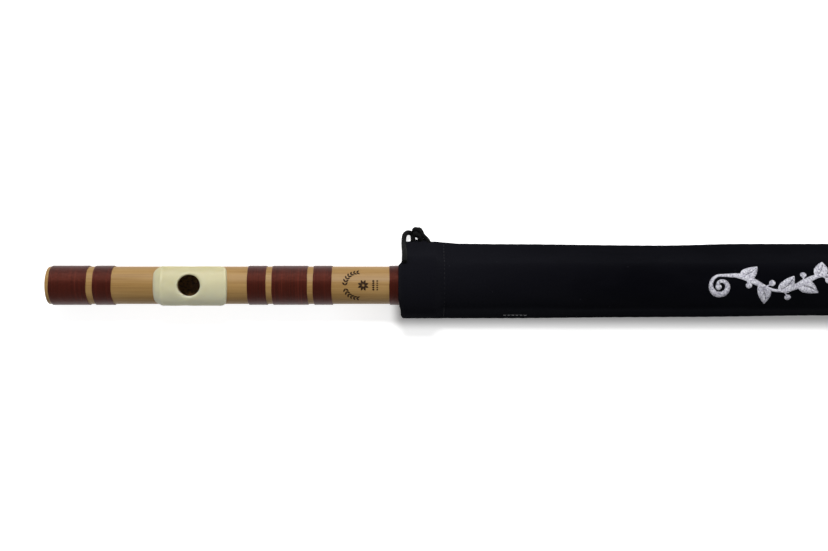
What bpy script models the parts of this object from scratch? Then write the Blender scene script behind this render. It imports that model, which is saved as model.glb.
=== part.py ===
"""Bansuri, a side-blown bamboo flute, half drawn into its velvet drawstring cover.

Metres, +Z up. The head end is at -X and the closed end of the cover at +X.
Flute pieces are modelled from the flute's axis and measured along X from the head face.
Cover pieces are modelled from the same axis and measured along X from the cover's mouth.
"""

import math

import bmesh
import bpy
from mathutils import Vector

# Running clearance between pieces that touch
GAP = 0.0003
WINDING_GAP = 0.0002

# Edges sharper than this stay sharp in the shading
SMOOTH_ANGLE = math.radians(35)

# Bamboo tube
FLUTE_LENGTH = 0.4545
TUBE_RADIUS = 0.011
BORE_RADIUS = 0.0085
ROUND_SEGMENTS = 36

# Blow hole, measured from the head face
BLOW_HOLE_AT = 0.0834
BLOW_HOLE_LENGTH = 0.0127
BLOW_HOLE_WIDTH = 0.0124
HOLE_SEGMENTS = 24
DRILL_BELOW_WALL = 0.004
DRILL_ABOVE_PLATE = 0.003

# Finger holes and vent hole, measured from the blow hole
FINGER_HOLE_DIAMETER = 0.009
SMALL_HOLE_DIAMETER = 0.0075
VENT_HOLE_DIAMETER = 0.008
FINGER_HOLE_1_AT = 0.1445
FINGER_HOLE_2_AT = 0.1691
FINGER_HOLE_3_AT = 0.1974
FINGER_HOLE_4_AT = 0.2296
FINGER_HOLE_5_AT = 0.2464
FINGER_HOLE_6_AT = 0.2815
VENT_HOLE_AT = 0.3211

# Cork stopper
CORK_LENGTH = 0.015
CORK_TO_BLOW_HOLE = 0.017
CORK_CHAMFER = 0.0008

# Thread bindings, measured from the head face where no other end is named
THREAD_HEIGHT = 0.0006
WIDE_BINDING = 0.0205
END_BINDING = 0.0217
NARROW_BINDING = 0.0108
RIM_MARGIN = 0.0021
PAIR_SPACING = 0.0036
BINDING_SHOULDER = 0.0004
BINDING_EDGE_HEIGHT = 0.0004
MIDDLE_GROUP_AT = 0.1164
MIDDLE_GROUP_SPACING = 0.0033
MOUTH_BINDING_AT = 0.1983
HAND_BINDING_AT = 0.2919
LOWER_BINDING_TO_FOOT = 0.0760

# Lip plate
LIP_PLATE_AT = 0.0624
LIP_PLATE_LENGTH = 0.0428
LIP_PLATE_THICKNESS = 0.0018
LIP_PLATE_CORNER = 0.006
LIP_PLATE_CORNER_STEPS = 4
LIP_PLATE_EDGE = 0.0005
LIP_PLATE_EDGE_STEPS = 2
LIP_PLATE_RAMP = 0.0047
LIP_PLATE_RAMP_DROP = 0.0009
LIP_PLATE_NEAR_ANGLE = math.radians(70)
LIP_PLATE_FAR_ANGLE = math.radians(62)
LIP_PLATE_STEP = math.radians(10)

# Velvet cover
COVER_MOUTH_AT = 0.2039
COVER_LENGTH = 0.490
CLOTH = 0.0009
FLUTE_CLEARANCE = 0.0006
CLOSING_LENGTH = 0.030
CLOSING_STEPS = 6
END_CORNER = 0.006
NEAR_REACH_MOUTH = 0.0192
NEAR_REACH_END = 0.0176
FAR_REACH_MOUTH = 0.0258
FAR_REACH_MIDDLE = 0.0234
FAR_REACH_END = 0.0245
REACH_SHOULDER = 0.048
REACH_MIDDLE = 0.140
REACH_TAIL = 0.250
ARCH_STEPS = 10
PANEL_STEP = 0.030
FRONT_PARTS = ("mouth", "middle", "end")

# Mouth casing
CASING_DEPTH = 0.0256
CASING_CLOSE = 0.0022
CASING_LIP_AT = 0.0009
CASING_LIP_PUFF = 0.60
CASING_SEAM_PUFF = 0.35
HEM = 0.0006
HEM_CORNER = 0.0036
EDGE_CORNER = 0.0006
CORNER_STEPS = 3
STITCH_THREAD = 0.0005

# Seam allowances turned in along the cover's edges
ALLOWANCE_WIDTH = 0.005
ALLOWANCE_HEIGHT = 0.0012
ALLOWANCE_INSET = 0.0022
END_ALLOWANCE_SETBACK = 0.003
END_ALLOWANCE_INSET = 0.005

# Drawstring
CORD_DIAMETER = 0.0025
CORD_PRESSED = 0.0010
CORD_SIDES = 8
TAIL_EXIT_AT = 0.0082
LEG_EXIT_AT = 0.0174
EXIT_HEIGHT = 0.0026
EYE_WIDTH = 0.0031
EYE_HEIGHT = 0.0046
EYE_DEPTH = 0.0045
EYE_STEPS = 12
CORD_TURN = 0.0030
CORD_TURN_STEPS = 4
CORD_ARCH_STEPS = 14
CORD_CORNER_STEPS = 5
CORD_UNDER_STEPS = 5
CORD_RISE_LENGTH = 0.0075
CORD_RISE_SHARES = (0.35, 0.70, 1.00)
CORD_RISEN_BY = 0.70

# Embroidered sprig on the cover's front, measured from the mouth
SPRIG_AT = 0.178
SPRIG_LENGTH = 0.132
SPRIG_WAVE = 0.0045
SPRIG_WAVES = 2.5
SPRIG_STEM = 0.0016
SPRIG_STEPS = 24
SPRIG_PAD_STEPS = 4
SPRIG_LEAVES = 12
FIRST_LEAF_SHARE = 0.6
LEAF_LENGTH = 0.0120
LEAF_WIDTH = 0.0052
LEAF_STEPS = 12
LEAF_TAPER = 0.25
LEAF_LEAN = math.radians(45)
SPRIG_HEIGHT = 0.0006
SPRIG_SIDE_SHIFT = 0.0014

# Sizes that follow from the ones above
BINDING_RADIUS = TUBE_RADIUS + THREAD_HEIGHT
LIP_PLATE_INNER = TUBE_RADIUS + GAP
LIP_PLATE_OUTER = LIP_PLATE_INNER + LIP_PLATE_THICKNESS
COVER_BORE = max(LIP_PLATE_OUTER, BINDING_RADIUS) + FLUTE_CLEARANCE
COVER_OUTER = COVER_BORE + CLOTH
CORD_RADIUS = CORD_DIAMETER / 2
HEM_OUTER = COVER_BORE + HEM
CORD_PATH_RADIUS = HEM_OUTER + GAP + CORD_RADIUS
CASING_BORE = CORD_PATH_RADIUS + CORD_RADIUS + GAP
AXIS_HEIGHT = CLOTH + GAP + CORD_PRESSED + GAP + HEM + GAP + BINDING_RADIUS
TABLE = -AXIS_HEIGHT
FRONT_BASE = TABLE + CLOTH + GAP
PANEL_START = CASING_DEPTH + GAP + STITCH_THREAD + GAP
TOTAL_LENGTH = COVER_MOUTH_AT + COVER_LENGTH
MIDDLE_X = TOTAL_LENGTH / 2
MIDDLE_Y = (FAR_REACH_MOUTH - NEAR_REACH_MOUTH) / 2

# The tail's route: distance from the mouth, side from the flute's axis, height over the table
TAIL_ROUTE = (
    (0.0082, 0.0258, 0.0026),
    (0.0082, 0.0275, 0.0022),
    (0.0081, 0.0291, 0.0017),
    (0.0076, 0.0303, 0.0017),
    (0.0064, 0.0311, 0.0026),
    (0.0050, 0.0312, 0.0047),
    (0.0038, 0.0303, 0.0070),
    (0.0033, 0.0287, 0.0087),
    (0.0032, 0.0266, 0.0103),
    (0.0032, 0.0247, 0.0125),
    (0.0032, 0.0229, 0.0158),
    (0.0032, 0.0211, 0.0198),
    (0.0032, 0.0193, 0.0236),
    (0.0032, 0.0168, 0.0272),
    (0.0032, 0.0136, 0.0303),
)

# The knot and its leg: the same three measures, then the thickness as a share of the cord's
KNOT_ROUTE = (
    (0.0081, 0.0317, 0.0046, 0.90),
    (0.0087, 0.0319, 0.0047, 1.60),
    (0.0099, 0.0318, 0.0047, 2.10),
    (0.0112, 0.0314, 0.0046, 2.16),
    (0.0124, 0.0307, 0.0042, 1.85),
    (0.0133, 0.0300, 0.0037, 1.30),
    (0.0143, 0.0291, 0.0030, 1.00),
    (0.0155, 0.0284, 0.0026, 1.00),
    (0.0169, 0.0276, 0.0026, 1.00),
    (0.0174, 0.0268, 0.0026, 1.00),
    (0.0174, 0.0258, 0.0026, 1.00),
)


def clear_scene():
    for thing in list(bpy.data.objects):
        bpy.data.objects.remove(thing, do_unlink=True)


def material(name, colour, roughness, metallic=0.0):
    made = bpy.data.materials.new(name)
    made.use_nodes = True
    shader = made.node_tree.nodes["Principled BSDF"]
    shader.inputs["Base Color"].default_value = (*colour, 1.0)
    shader.inputs["Roughness"].default_value = roughness
    shader.inputs["Metallic"].default_value = metallic
    return made


def empty(name, location, parent=None):
    made = bpy.data.objects.new(name, None)
    made.empty_display_size = 0.02
    made.location = location
    made.parent = parent
    bpy.context.collection.objects.link(made)
    return made


def finish_object(name, data, parent, finish, location=(0.0, 0.0, 0.0)):
    made = bpy.data.objects.new(name, data)
    made.parent = parent
    made.location = location
    data.materials.append(finish)
    bpy.context.collection.objects.link(made)
    return made


def finish_mesh(name, bm, parent, finish, location=(0.0, 0.0, 0.0)):
    bmesh.ops.recalc_face_normals(bm, faces=bm.faces)
    mesh = bpy.data.meshes.new(name)
    bm.to_mesh(mesh)
    bm.free()
    mesh.shade_smooth()
    mesh.set_sharp_from_angle(angle=SMOOTH_ANGLE)
    return finish_object(name, mesh, parent, finish, location)


def hide_cutter(cutter):
    cutter.hide_render = True
    cutter.display_type = "WIRE"


def cut_with(piece, cutter, operation="DIFFERENCE", overlapping=False):
    cut = piece.modifiers.new("cut_" + cutter.name, "BOOLEAN")
    cut.operation = operation
    cut.object = cutter
    cut.use_self = overlapping


def turned(profile):
    """A closed (distance along X, radius) profile, spun round the flute's axis."""
    bm = bmesh.new()
    verts = [bm.verts.new((x, 0.0, radius)) for x, radius in profile]
    edges = [bm.edges.new((a, b)) for a, b in zip(verts, verts[1:] + verts[:1])]
    bmesh.ops.spin(
        bm,
        geom=verts + edges,
        cent=(0.0, 0.0, 0.0),
        axis=(1.0, 0.0, 0.0),
        angle=math.tau,
        steps=ROUND_SEGMENTS,
        use_merge=True,
    )
    return bm


def thick_sheet(outer, inner, wrap):
    """A solid between two grids of points, open at its edges or wrapped into a ring."""
    bm = bmesh.new()
    top = [[bm.verts.new(point) for point in row] for row in outer]
    under = [[bm.verts.new(point) for point in row] for row in inner]
    columns = len(top[0])
    sides = range(columns if wrap else columns - 1)
    for grid in (top, under):
        for row, following in zip(grid, grid[1:]):
            for i in sides:
                j = (i + 1) % columns
                bm.faces.new((row[i], row[j], following[j], following[i]))
    for row_top, row_under in ((top[0], under[0]), (top[-1], under[-1])):
        for i in sides:
            j = (i + 1) % columns
            bm.faces.new((row_top[i], row_top[j], row_under[j], row_under[i]))
    if not wrap:
        for edge in (0, -1):
            for k in range(len(top) - 1):
                bm.faces.new((top[k][edge], top[k + 1][edge], under[k + 1][edge], under[k][edge]))
    return bm


def loft(rings):
    """A solid bar through closed rings of points, with a flat face at each end."""
    bm = bmesh.new()
    rows = [[bm.verts.new(point) for point in ring] for ring in rings]
    count = len(rows[0])
    for row, following in zip(rows, rows[1:]):
        for i in range(count):
            j = (i + 1) % count
            bm.faces.new((row[i], row[j], following[j], following[i]))
    bm.faces.new(rows[0])
    bm.faces.new(rows[-1])
    return bm


def smooth_share(share):
    share = min(max(share, 0.0), 1.0)
    return share * share * (3 - 2 * share)


def between_marks(x, marks):
    """The value at x on an easy curve through (distance, value) marks."""
    for (x0, v0), (x1, v1) in zip(marks, marks[1:]):
        if x < x1:
            return v0 + (v1 - v0) * smooth_share((x - x0) / (x1 - x0))
    return marks[-1][1]


def corner_loss(x):
    """How much the rounded corners take off each side of the cover near its closed end."""
    into = x - (COVER_LENGTH - END_CORNER)
    if into <= 0:
        return 0.0
    return END_CORNER - math.sqrt(max(END_CORNER ** 2 - into ** 2, 0.0))


def near_reach(x):
    marks = ((0.0, NEAR_REACH_MOUTH), (REACH_MIDDLE, NEAR_REACH_MOUTH), (REACH_TAIL, NEAR_REACH_END))
    return between_marks(x, marks) - corner_loss(x)


def far_reach(x):
    marks = (
        (CASING_DEPTH, FAR_REACH_MOUTH),
        (REACH_SHOULDER, FAR_REACH_MIDDLE),
        (REACH_MIDDLE, FAR_REACH_MIDDLE),
        (REACH_TAIL, FAR_REACH_END),
    )
    return between_marks(x, marks) - corner_loss(x)


def slope_angle(reach, base, radius):
    """Angle above level at which cloth rising from its seam meets the arch over the flute."""
    return math.acos(radius / math.hypot(reach, base)) - math.atan2(-base, reach)


def slope_side(radius, angle, height):
    """Distance to the side of a cloth slope at a height measured from the flute's axis."""
    return (radius - height * math.sin(angle)) / math.cos(angle)


def arc_points(centre, radius, start, stop, steps):
    points = []
    for k in range(steps + 1):
        angle = start + (stop - start) * k / steps
        points.append((centre[0] + radius * math.cos(angle), centre[1] + radius * math.sin(angle)))
    return points


def unit_ring(sides):
    """The corners of a ring one unit across, each once."""
    return arc_points((0.0, 0.0), 0.5, 0.0, math.tau * (1 - 1 / sides), sides - 1)


def slopes_at(x, radius):
    near = slope_angle(near_reach(x), FRONT_BASE, radius)
    far = slope_angle(far_reach(x), FRONT_BASE, radius)
    return near, far


def arch_outline(radius, near, far, base):
    """The open arch of the front cloth, from its far seam over the flute to its near seam."""
    over = arc_points((0.0, 0.0), radius, far, math.pi - near, ARCH_STEPS)
    far_foot = (slope_side(radius, far, base), base)
    near_foot = (-slope_side(radius, near, base), base)
    return [far_foot] + over + [near_foot]


def ring_outline(radius, near, far, bottom, corner):
    """The closed outline of the mouth: the arch, the two side corners and the level underside."""
    level = bottom + corner
    far_centre = (slope_side(radius - corner, far, level), level)
    near_centre = (-slope_side(radius - corner, near, level), level)
    over = arc_points((0.0, 0.0), radius, far, math.pi - near, ARCH_STEPS)
    near_corner = arc_points(near_centre, corner, math.pi - near, 1.5 * math.pi, CORNER_STEPS)
    far_corner = arc_points(far_centre, corner, -0.5 * math.pi, far, CORNER_STEPS)
    return over + near_corner + far_corner


def along(x, outline):
    return [Vector((x, y, z)) for y, z in outline]


def make_tube(axis, finish):
    profile = (
        (0.0, BORE_RADIUS),
        (0.0, TUBE_RADIUS),
        (FLUTE_LENGTH, TUBE_RADIUS),
        (FLUTE_LENGTH, BORE_RADIUS),
    )
    tube = finish_mesh("bamboo_tube", turned(profile), axis, finish)
    holes = bmesh.new()
    add_hole(holes, BLOW_HOLE_AT, BLOW_HOLE_LENGTH, BLOW_HOLE_WIDTH)
    for place, diameter in (
        (FINGER_HOLE_1_AT, FINGER_HOLE_DIAMETER),
        (FINGER_HOLE_2_AT, FINGER_HOLE_DIAMETER),
        (FINGER_HOLE_3_AT, FINGER_HOLE_DIAMETER),
        (FINGER_HOLE_4_AT, SMALL_HOLE_DIAMETER),
        (FINGER_HOLE_5_AT, FINGER_HOLE_DIAMETER),
        (FINGER_HOLE_6_AT, FINGER_HOLE_DIAMETER),
        (VENT_HOLE_AT, VENT_HOLE_DIAMETER),
    ):
        add_hole(holes, BLOW_HOLE_AT + place, diameter, diameter)
    cutter = finish_mesh("hole_drills", holes, axis, finish)
    hide_cutter(cutter)
    cut_with(tube, cutter)
    return cutter


def add_hole(bm, x, length, width):
    """One upright drill through the top wall, from inside the bore to well above the tube."""
    low = BORE_RADIUS - DRILL_BELOW_WALL
    high = LIP_PLATE_OUTER + DRILL_ABOVE_PLATE
    rows = []
    for z in (low, high):
        row = []
        for k in range(HOLE_SEGMENTS):
            turn = math.tau * (k + 0.5) / HOLE_SEGMENTS
            row.append(bm.verts.new((x + length / 2 * math.cos(turn), width / 2 * math.sin(turn), z)))
        rows.append(row)
    bm.faces.new(rows[0])
    bm.faces.new(rows[1])
    for k in range(HOLE_SEGMENTS):
        j = (k + 1) % HOLE_SEGMENTS
        bm.faces.new((rows[0][k], rows[0][j], rows[1][j], rows[1][k]))


def make_cork(axis, finish):
    radius = BORE_RADIUS - GAP
    half = CORK_LENGTH / 2
    centre = BLOW_HOLE_AT - CORK_TO_BLOW_HOLE - half
    bm = bmesh.new()
    bmesh.ops.create_cone(
        bm,
        cap_ends=True,
        segments=ROUND_SEGMENTS,
        radius1=radius,
        radius2=radius,
        depth=CORK_LENGTH,
    )
    rims = [edge for edge in bm.edges if abs(edge.verts[0].co.z - edge.verts[1].co.z) < half]
    bmesh.ops.bevel(bm, geom=rims, offset=CORK_CHAMFER, segments=1, affect="EDGES")
    for vert in bm.verts:
        vert.co = Vector((vert.co.z, vert.co.x, vert.co.y))
    finish_mesh("cork_stopper", bm, axis, finish, location=(centre, 0.0, 0.0))


def make_binding(name, start, width, axis, finish):
    """One band of wound thread: a sleeve with rounded shoulders, tight on the bamboo."""
    seat = TUBE_RADIUS + WINDING_GAP
    shoulder = min(BINDING_SHOULDER, width / 4)
    low = max(BINDING_RADIUS - BINDING_EDGE_HEIGHT, (seat + BINDING_RADIUS) / 2)
    profile = (
        (start, seat),
        (start, low),
        (start + shoulder, BINDING_RADIUS),
        (start + width - shoulder, BINDING_RADIUS),
        (start + width, low),
        (start + width, seat),
    )
    finish_mesh(name, turned(profile), axis, finish)


def make_bindings(axis, finish):
    head_narrow_at = RIM_MARGIN + END_BINDING + PAIR_SPACING
    middle_wide_at = MIDDLE_GROUP_AT + NARROW_BINDING + MIDDLE_GROUP_SPACING
    middle_last_at = middle_wide_at + WIDE_BINDING + MIDDLE_GROUP_SPACING
    foot_wide_at = FLUTE_LENGTH - RIM_MARGIN - END_BINDING
    foot_narrow_at = foot_wide_at - PAIR_SPACING - NARROW_BINDING
    for name, start, width in (
        ("binding_head_wide", RIM_MARGIN, END_BINDING),
        ("binding_head_narrow", head_narrow_at, NARROW_BINDING),
        ("binding_middle_first", MIDDLE_GROUP_AT, NARROW_BINDING),
        ("binding_middle_wide", middle_wide_at, WIDE_BINDING),
        ("binding_middle_last", middle_last_at, NARROW_BINDING),
        ("binding_mouth", MOUTH_BINDING_AT, NARROW_BINDING),
        ("binding_between_hands", HAND_BINDING_AT, NARROW_BINDING),
        ("binding_lower", FLUTE_LENGTH - LOWER_BINDING_TO_FOOT, NARROW_BINDING),
        ("binding_foot_narrow", foot_narrow_at, NARROW_BINDING),
        ("binding_foot_wide", foot_wide_at, END_BINDING),
    ):
        make_binding(name, start, width, axis, finish)


def make_lip_plate(axis, finish, blow_cutter):
    """A flat tile with rounded corners and a thinned head end, wrapped over the tube."""
    middle = (LIP_PLATE_INNER + LIP_PLATE_OUTER) / 2
    sweep = LIP_PLATE_NEAR_ANGLE + LIP_PLATE_FAR_ANGLE
    bm = bmesh.new()
    bmesh.ops.create_cube(bm, size=1.0)
    for vert in bm.verts:
        vert.co.x = (vert.co.x + 0.5) * LIP_PLATE_LENGTH
        vert.co.y *= sweep * middle
        vert.co.z = (vert.co.z + 0.5) * LIP_PLATE_THICKNESS
    upright = [e for e in bm.edges if abs(e.verts[0].co.z - e.verts[1].co.z) > LIP_PLATE_THICKNESS / 2]
    bmesh.ops.bevel(
        bm,
        geom=upright,
        offset=LIP_PLATE_CORNER,
        segments=LIP_PLATE_CORNER_STEPS,
        profile=0.5,
        affect="EDGES",
    )
    rim = [e for e in bm.edges if all(v.co.z > LIP_PLATE_THICKNESS / 2 for v in e.verts)]
    bmesh.ops.bevel(
        bm,
        geom=rim,
        offset=LIP_PLATE_EDGE,
        segments=LIP_PLATE_EDGE_STEPS,
        profile=0.5,
        affect="EDGES",
    )
    cut_everywhere(bm, (LIP_PLATE_RAMP, 0.0, 0.0), (1.0, 0.0, 0.0))
    steps = round(sweep / LIP_PLATE_STEP)
    for k in range(1, steps):
        side = sweep * middle * (k / steps - 0.5)
        cut_everywhere(bm, (0.0, side, 0.0), (0.0, 1.0, 0.0))
    lean = (LIP_PLATE_FAR_ANGLE - LIP_PLATE_NEAR_ANGLE) / 2
    for vert in bm.verts:
        x, side, height = vert.co
        ramp = LIP_PLATE_RAMP_DROP * max(0.0, 1 - x / LIP_PLATE_RAMP)
        radius = LIP_PLATE_INNER + height - ramp * height / LIP_PLATE_THICKNESS
        turn = side / middle + lean
        vert.co = Vector((LIP_PLATE_AT + x, radius * math.sin(turn), radius * math.cos(turn)))
    plate = finish_mesh("lip_plate", bm, axis, finish)
    cut_with(plate, blow_cutter)


def cut_everywhere(bm, point, normal):
    geometry = bm.verts[:] + bm.edges[:] + bm.faces[:]
    bmesh.ops.bisect_plane(bm, geom=geometry, plane_co=point, plane_no=normal, dist=1e-7)


def panel_stations(start=PANEL_START, stop=COVER_LENGTH):
    """Distances from the mouth at which the cover's panels have a section."""
    plain_end = COVER_LENGTH - CLOSING_LENGTH
    plain_stop = min(stop, plain_end)
    count = max(2, round((plain_stop - start) / PANEL_STEP))
    plain = [start + (plain_stop - start) * k / count for k in range(count + 1)]
    if stop <= plain_end:
        return plain
    turns = [math.pi / 2 * k / CLOSING_STEPS for k in range(1, CLOSING_STEPS + 1)]
    return plain + [plain_end + CLOSING_LENGTH * math.sin(turn) for turn in turns]


def closing_share(x):
    """Full height of the arch is 1; it falls along a quarter round to 0 at the closed end."""
    into = (x - (COVER_LENGTH - CLOSING_LENGTH)) / CLOSING_LENGTH
    if into <= 0:
        return 1.0
    return math.sqrt(max(1 - into * into, 0.0))


def make_front_panel(axis, finish):
    """The front cloth, in lengths that each arch over the flute from seam to seam."""
    length = (COVER_LENGTH - PANEL_START + GAP) / len(FRONT_PARTS)
    for k, part in enumerate(FRONT_PARTS):
        start = PANEL_START + length * k
        outer = []
        inner = []
        for x in panel_stations(start, start + length - GAP):
            share = closing_share(x)
            near, far = slopes_at(x, COVER_OUTER)
            top = arch_outline(COVER_OUTER, near, far, FRONT_BASE)
            under = arch_outline(COVER_BORE, near, far, FRONT_BASE)
            lift = CLOTH * (1 - share)
            outer.append([Vector((x, y, FRONT_BASE + (z - FRONT_BASE) * share + lift)) for y, z in top])
            inner.append([Vector((x, y, FRONT_BASE + (z - FRONT_BASE) * share)) for y, z in under])
        finish_mesh("cover_front_" + part, thick_sheet(outer, inner, wrap=False), axis, finish)


def make_back_panel(axis, finish):
    upper = []
    lower = []
    for x in panel_stations():
        sides = (-near_reach(x), 0.0, far_reach(x))
        upper.append([Vector((x, y, TABLE + CLOTH)) for y in sides])
        lower.append([Vector((x, y, TABLE)) for y in sides])
    finish_mesh("cover_back_panel", thick_sheet(upper, lower, wrap=False), axis, finish)


def make_casing(axis, finish, hem_finish):
    """The mouth's double cloth: a puffed outer layer, and the hem turned in under it."""
    flat_bore = HEM_OUTER + GAP
    stations = (
        (0.0, flat_bore),
        (CASING_LIP_AT, flat_bore + (CASING_BORE - flat_bore) * CASING_LIP_PUFF),
        (CASING_CLOSE, CASING_BORE),
        (LEG_EXIT_AT + CORD_RADIUS + GAP, CASING_BORE),
        (CASING_DEPTH - CASING_CLOSE, flat_bore + (CASING_BORE - flat_bore) * CASING_SEAM_PUFF),
        (CASING_DEPTH, flat_bore),
    )
    outer = []
    inner = []
    for x, bore in stations:
        near, far = slopes_at(x, bore + CLOTH)
        outer.append(along(x, ring_outline(bore + CLOTH, near, far, TABLE, EDGE_CORNER + CLOTH)))
        inner.append(along(x, ring_outline(bore, near, far, TABLE + CLOTH, EDGE_CORNER)))
    casing = finish_mesh("casing_outer", thick_sheet(outer, inner, wrap=True), axis, finish)
    cutter = make_exit_cutter(axis, finish)
    cut_with(casing, cutter)

    hem_top = TABLE + CLOTH + GAP + CORD_PRESSED + GAP + HEM
    outer = []
    inner = []
    for x, bore in stations:
        near, far = slopes_at(x, bore + CLOTH)
        outer.append(along(x, ring_outline(HEM_OUTER, near, far, hem_top - HEM, HEM_CORNER + HEM)))
        inner.append(along(x, ring_outline(COVER_BORE, near, far, hem_top, HEM_CORNER)))
    finish_mesh("casing_hem", thick_sheet(outer, inner, wrap=True), axis, hem_finish)


def make_exit_cutter(axis, finish):
    """Two tall eyes in the far seam, where the drawstring leaves the casing."""
    low = TABLE + EXIT_HEIGHT - EYE_WIDTH / 2
    bm = bmesh.new()
    for x in (TAIL_EXIT_AT, LEG_EXIT_AT):
        rows = []
        for y in (FAR_REACH_MOUTH - EYE_DEPTH, FAR_REACH_MOUTH + EYE_DEPTH):
            rows.append([
                bm.verts.new((x + EYE_WIDTH * side, y, low + EYE_HEIGHT * (0.5 + up)))
                for side, up in unit_ring(EYE_STEPS)
            ])
        bm.faces.new(rows[0])
        bm.faces.new(rows[1])
        for k in range(EYE_STEPS):
            j = (k + 1) % EYE_STEPS
            bm.faces.new((rows[0][k], rows[0][j], rows[1][j], rows[1][k]))
    cutter = finish_mesh("cord_exit_punch", bm, axis, finish)
    hide_cutter(cutter)
    return cutter


def make_casing_stitching(axis, finish):
    """One turn of thread in the groove between the casing and the panels."""
    x = CASING_DEPTH + GAP + STITCH_THREAD / 2
    near, far = slopes_at(x, COVER_OUTER)
    bottom = TABLE + (CLOTH - STITCH_THREAD) / 2
    radius = COVER_BORE + (CLOTH - STITCH_THREAD) / 2
    outer = []
    inner = []
    for side in (-STITCH_THREAD / 2, STITCH_THREAD / 2):
        outline = ring_outline(radius + STITCH_THREAD, near, far, bottom, EDGE_CORNER + STITCH_THREAD)
        outer.append(along(x + side, outline))
        outline = ring_outline(radius, near, far, bottom + STITCH_THREAD, EDGE_CORNER)
        inner.append(along(x + side, outline))
    finish_mesh("casing_stitching", thick_sheet(outer, inner, wrap=True), axis, finish)


def make_seam_allowances(axis, finish):
    """Cloth turned in along both long seams and across the closed end."""
    last = COVER_LENGTH - CLOSING_LENGTH
    stations = [x for x in panel_stations() if x <= last]
    for name, reach, sign in (
        ("near_seam_allowance", near_reach, -1.0),
        ("far_seam_allowance", far_reach, 1.0),
    ):
        rings = []
        for x in stations:
            outside = reach(x) - ALLOWANCE_INSET
            inside = outside - ALLOWANCE_WIDTH
            rings.append([
                Vector((x, sign * outside, FRONT_BASE)),
                Vector((x, sign * inside, FRONT_BASE)),
                Vector((x, sign * inside, FRONT_BASE + ALLOWANCE_HEIGHT)),
                Vector((x, sign * outside, FRONT_BASE + ALLOWANCE_HEIGHT)),
            ])
        finish_mesh(name, loft(rings), axis, finish)

    stop = COVER_LENGTH - END_ALLOWANCE_SETBACK
    start = stop - ALLOWANCE_WIDTH
    near = near_reach(stop) - END_ALLOWANCE_INSET
    far = far_reach(stop) - END_ALLOWANCE_INSET
    rings = []
    for y in (-near, far):
        rings.append([
            Vector((start, y, FRONT_BASE)),
            Vector((stop, y, FRONT_BASE)),
            Vector((stop, y, FRONT_BASE + ALLOWANCE_HEIGHT)),
            Vector((start, y, FRONT_BASE + ALLOWANCE_HEIGHT)),
        ])
    finish_mesh("end_seam_allowance", loft(rings), axis, finish)


def casing_cord_stations():
    """The drawstring's way round the mouth, from the tail's eye over the flute to the leg's eye.

    Each station is its side and height from the flute's axis, and its thickness.
    """
    near, far = slopes_at(TAIL_EXIT_AT, CASING_BORE + CLOTH)
    eye = TABLE + EXIT_HEIGHT
    run = TABLE + CLOTH + GAP + CORD_PRESSED / 2
    eye_side = FAR_REACH_MOUTH - GAP
    level = eye + CORD_TURN
    turn_centre = (slope_side(CORD_PATH_RADIUS + CORD_TURN, far, level), level)
    stations = [(eye_side, eye, CORD_DIAMETER), (eye_side - CORD_RADIUS / 2, eye, CORD_DIAMETER)]
    inward = arc_points(turn_centre, CORD_TURN, -0.5 * math.pi, -math.pi + far, CORD_TURN_STEPS)
    for y, z in inward:
        if y < eye_side - CORD_RADIUS:
            stations.append((y, z, CORD_DIAMETER))
    for y, z in arc_points((0.0, 0.0), CORD_PATH_RADIUS, far, math.pi - near, CORD_ARCH_STEPS):
        stations.append((y, z, CORD_DIAMETER))
    corner = HEM_CORNER + HEM + GAP + CORD_PRESSED / 2
    centre = (-slope_side(CORD_PATH_RADIUS - corner, near, run + corner), run + corner)
    round_corner = arc_points(centre, corner, math.pi - near, 1.5 * math.pi, CORD_CORNER_STEPS)
    for k, (y, z) in enumerate(round_corner):
        pressed = CORD_DIAMETER + (CORD_PRESSED - CORD_DIAMETER) * k / CORD_CORNER_STEPS
        stations.append((y, z, pressed))
    start = centre[0]
    stop = eye_side - CORD_RISE_LENGTH
    for k in range(1, CORD_UNDER_STEPS + 1):
        stations.append((start + (stop - start) * k / CORD_UNDER_STEPS, run, CORD_PRESSED))
    for share in CORD_RISE_SHARES:
        y = stop + (eye_side - stop) * share
        risen = smooth_share(share / CORD_RISEN_BY)
        z = run + (eye - run) * risen
        stations.append((y, z, CORD_PRESSED + (CORD_DIAMETER - CORD_PRESSED) * risen))
    return stations


def make_casing_cord(axis, finish):
    """The drawstring inside the casing, round in section, but pressed flat under the flute."""
    stations = casing_cord_stations()
    centres = [Vector((0.0, y, z)) for y, z, _ in stations]
    lengths = [0.0]
    for a, b in zip(centres, centres[1:]):
        lengths.append(lengths[-1] + (b - a).length)
    rings = []
    for k, (y, z, thickness) in enumerate(stations):
        ahead = centres[min(k + 1, len(centres) - 1)] - centres[max(k - 1, 0)]
        across = Vector((0.0, -ahead.z, ahead.y)).normalized()
        share = smooth_share(lengths[k] / lengths[-1])
        x = TAIL_EXIT_AT + (LEG_EXIT_AT - TAIL_EXIT_AT) * share
        width = CORD_DIAMETER ** 2 / thickness
        ring = []
        for side, up in unit_ring(CORD_SIDES):
            ring.append(Vector((x + side * width, y, z)) + across * up * thickness)
        rings.append(ring)
    finish_mesh("drawstring_in_casing", loft(rings), axis, finish)


def smooth_route(points, spacing):
    """Points on one smooth curve through a route's own points, about spacing apart."""
    route = [Vector(point) for point in points]
    ends = [route[0] * 2 - route[1]] + route + [route[-1] * 2 - route[-2]]
    curve = []
    for k in range(1, len(ends) - 2):
        a, b, c, d = ends[k - 1:k + 3]
        steps = max(1, round((c - b).length / spacing))
        for step in range(steps):
            t = step / steps
            curve.append(
                b
                + (c - a) * (t / 2)
                + (a * 2 - b * 5 + c * 4 - d) * (t * t / 2)
                + (b * 3 - a - c * 3 + d) * (t * t * t / 2)
            )
    curve.append(route[-1])
    return curve


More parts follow.
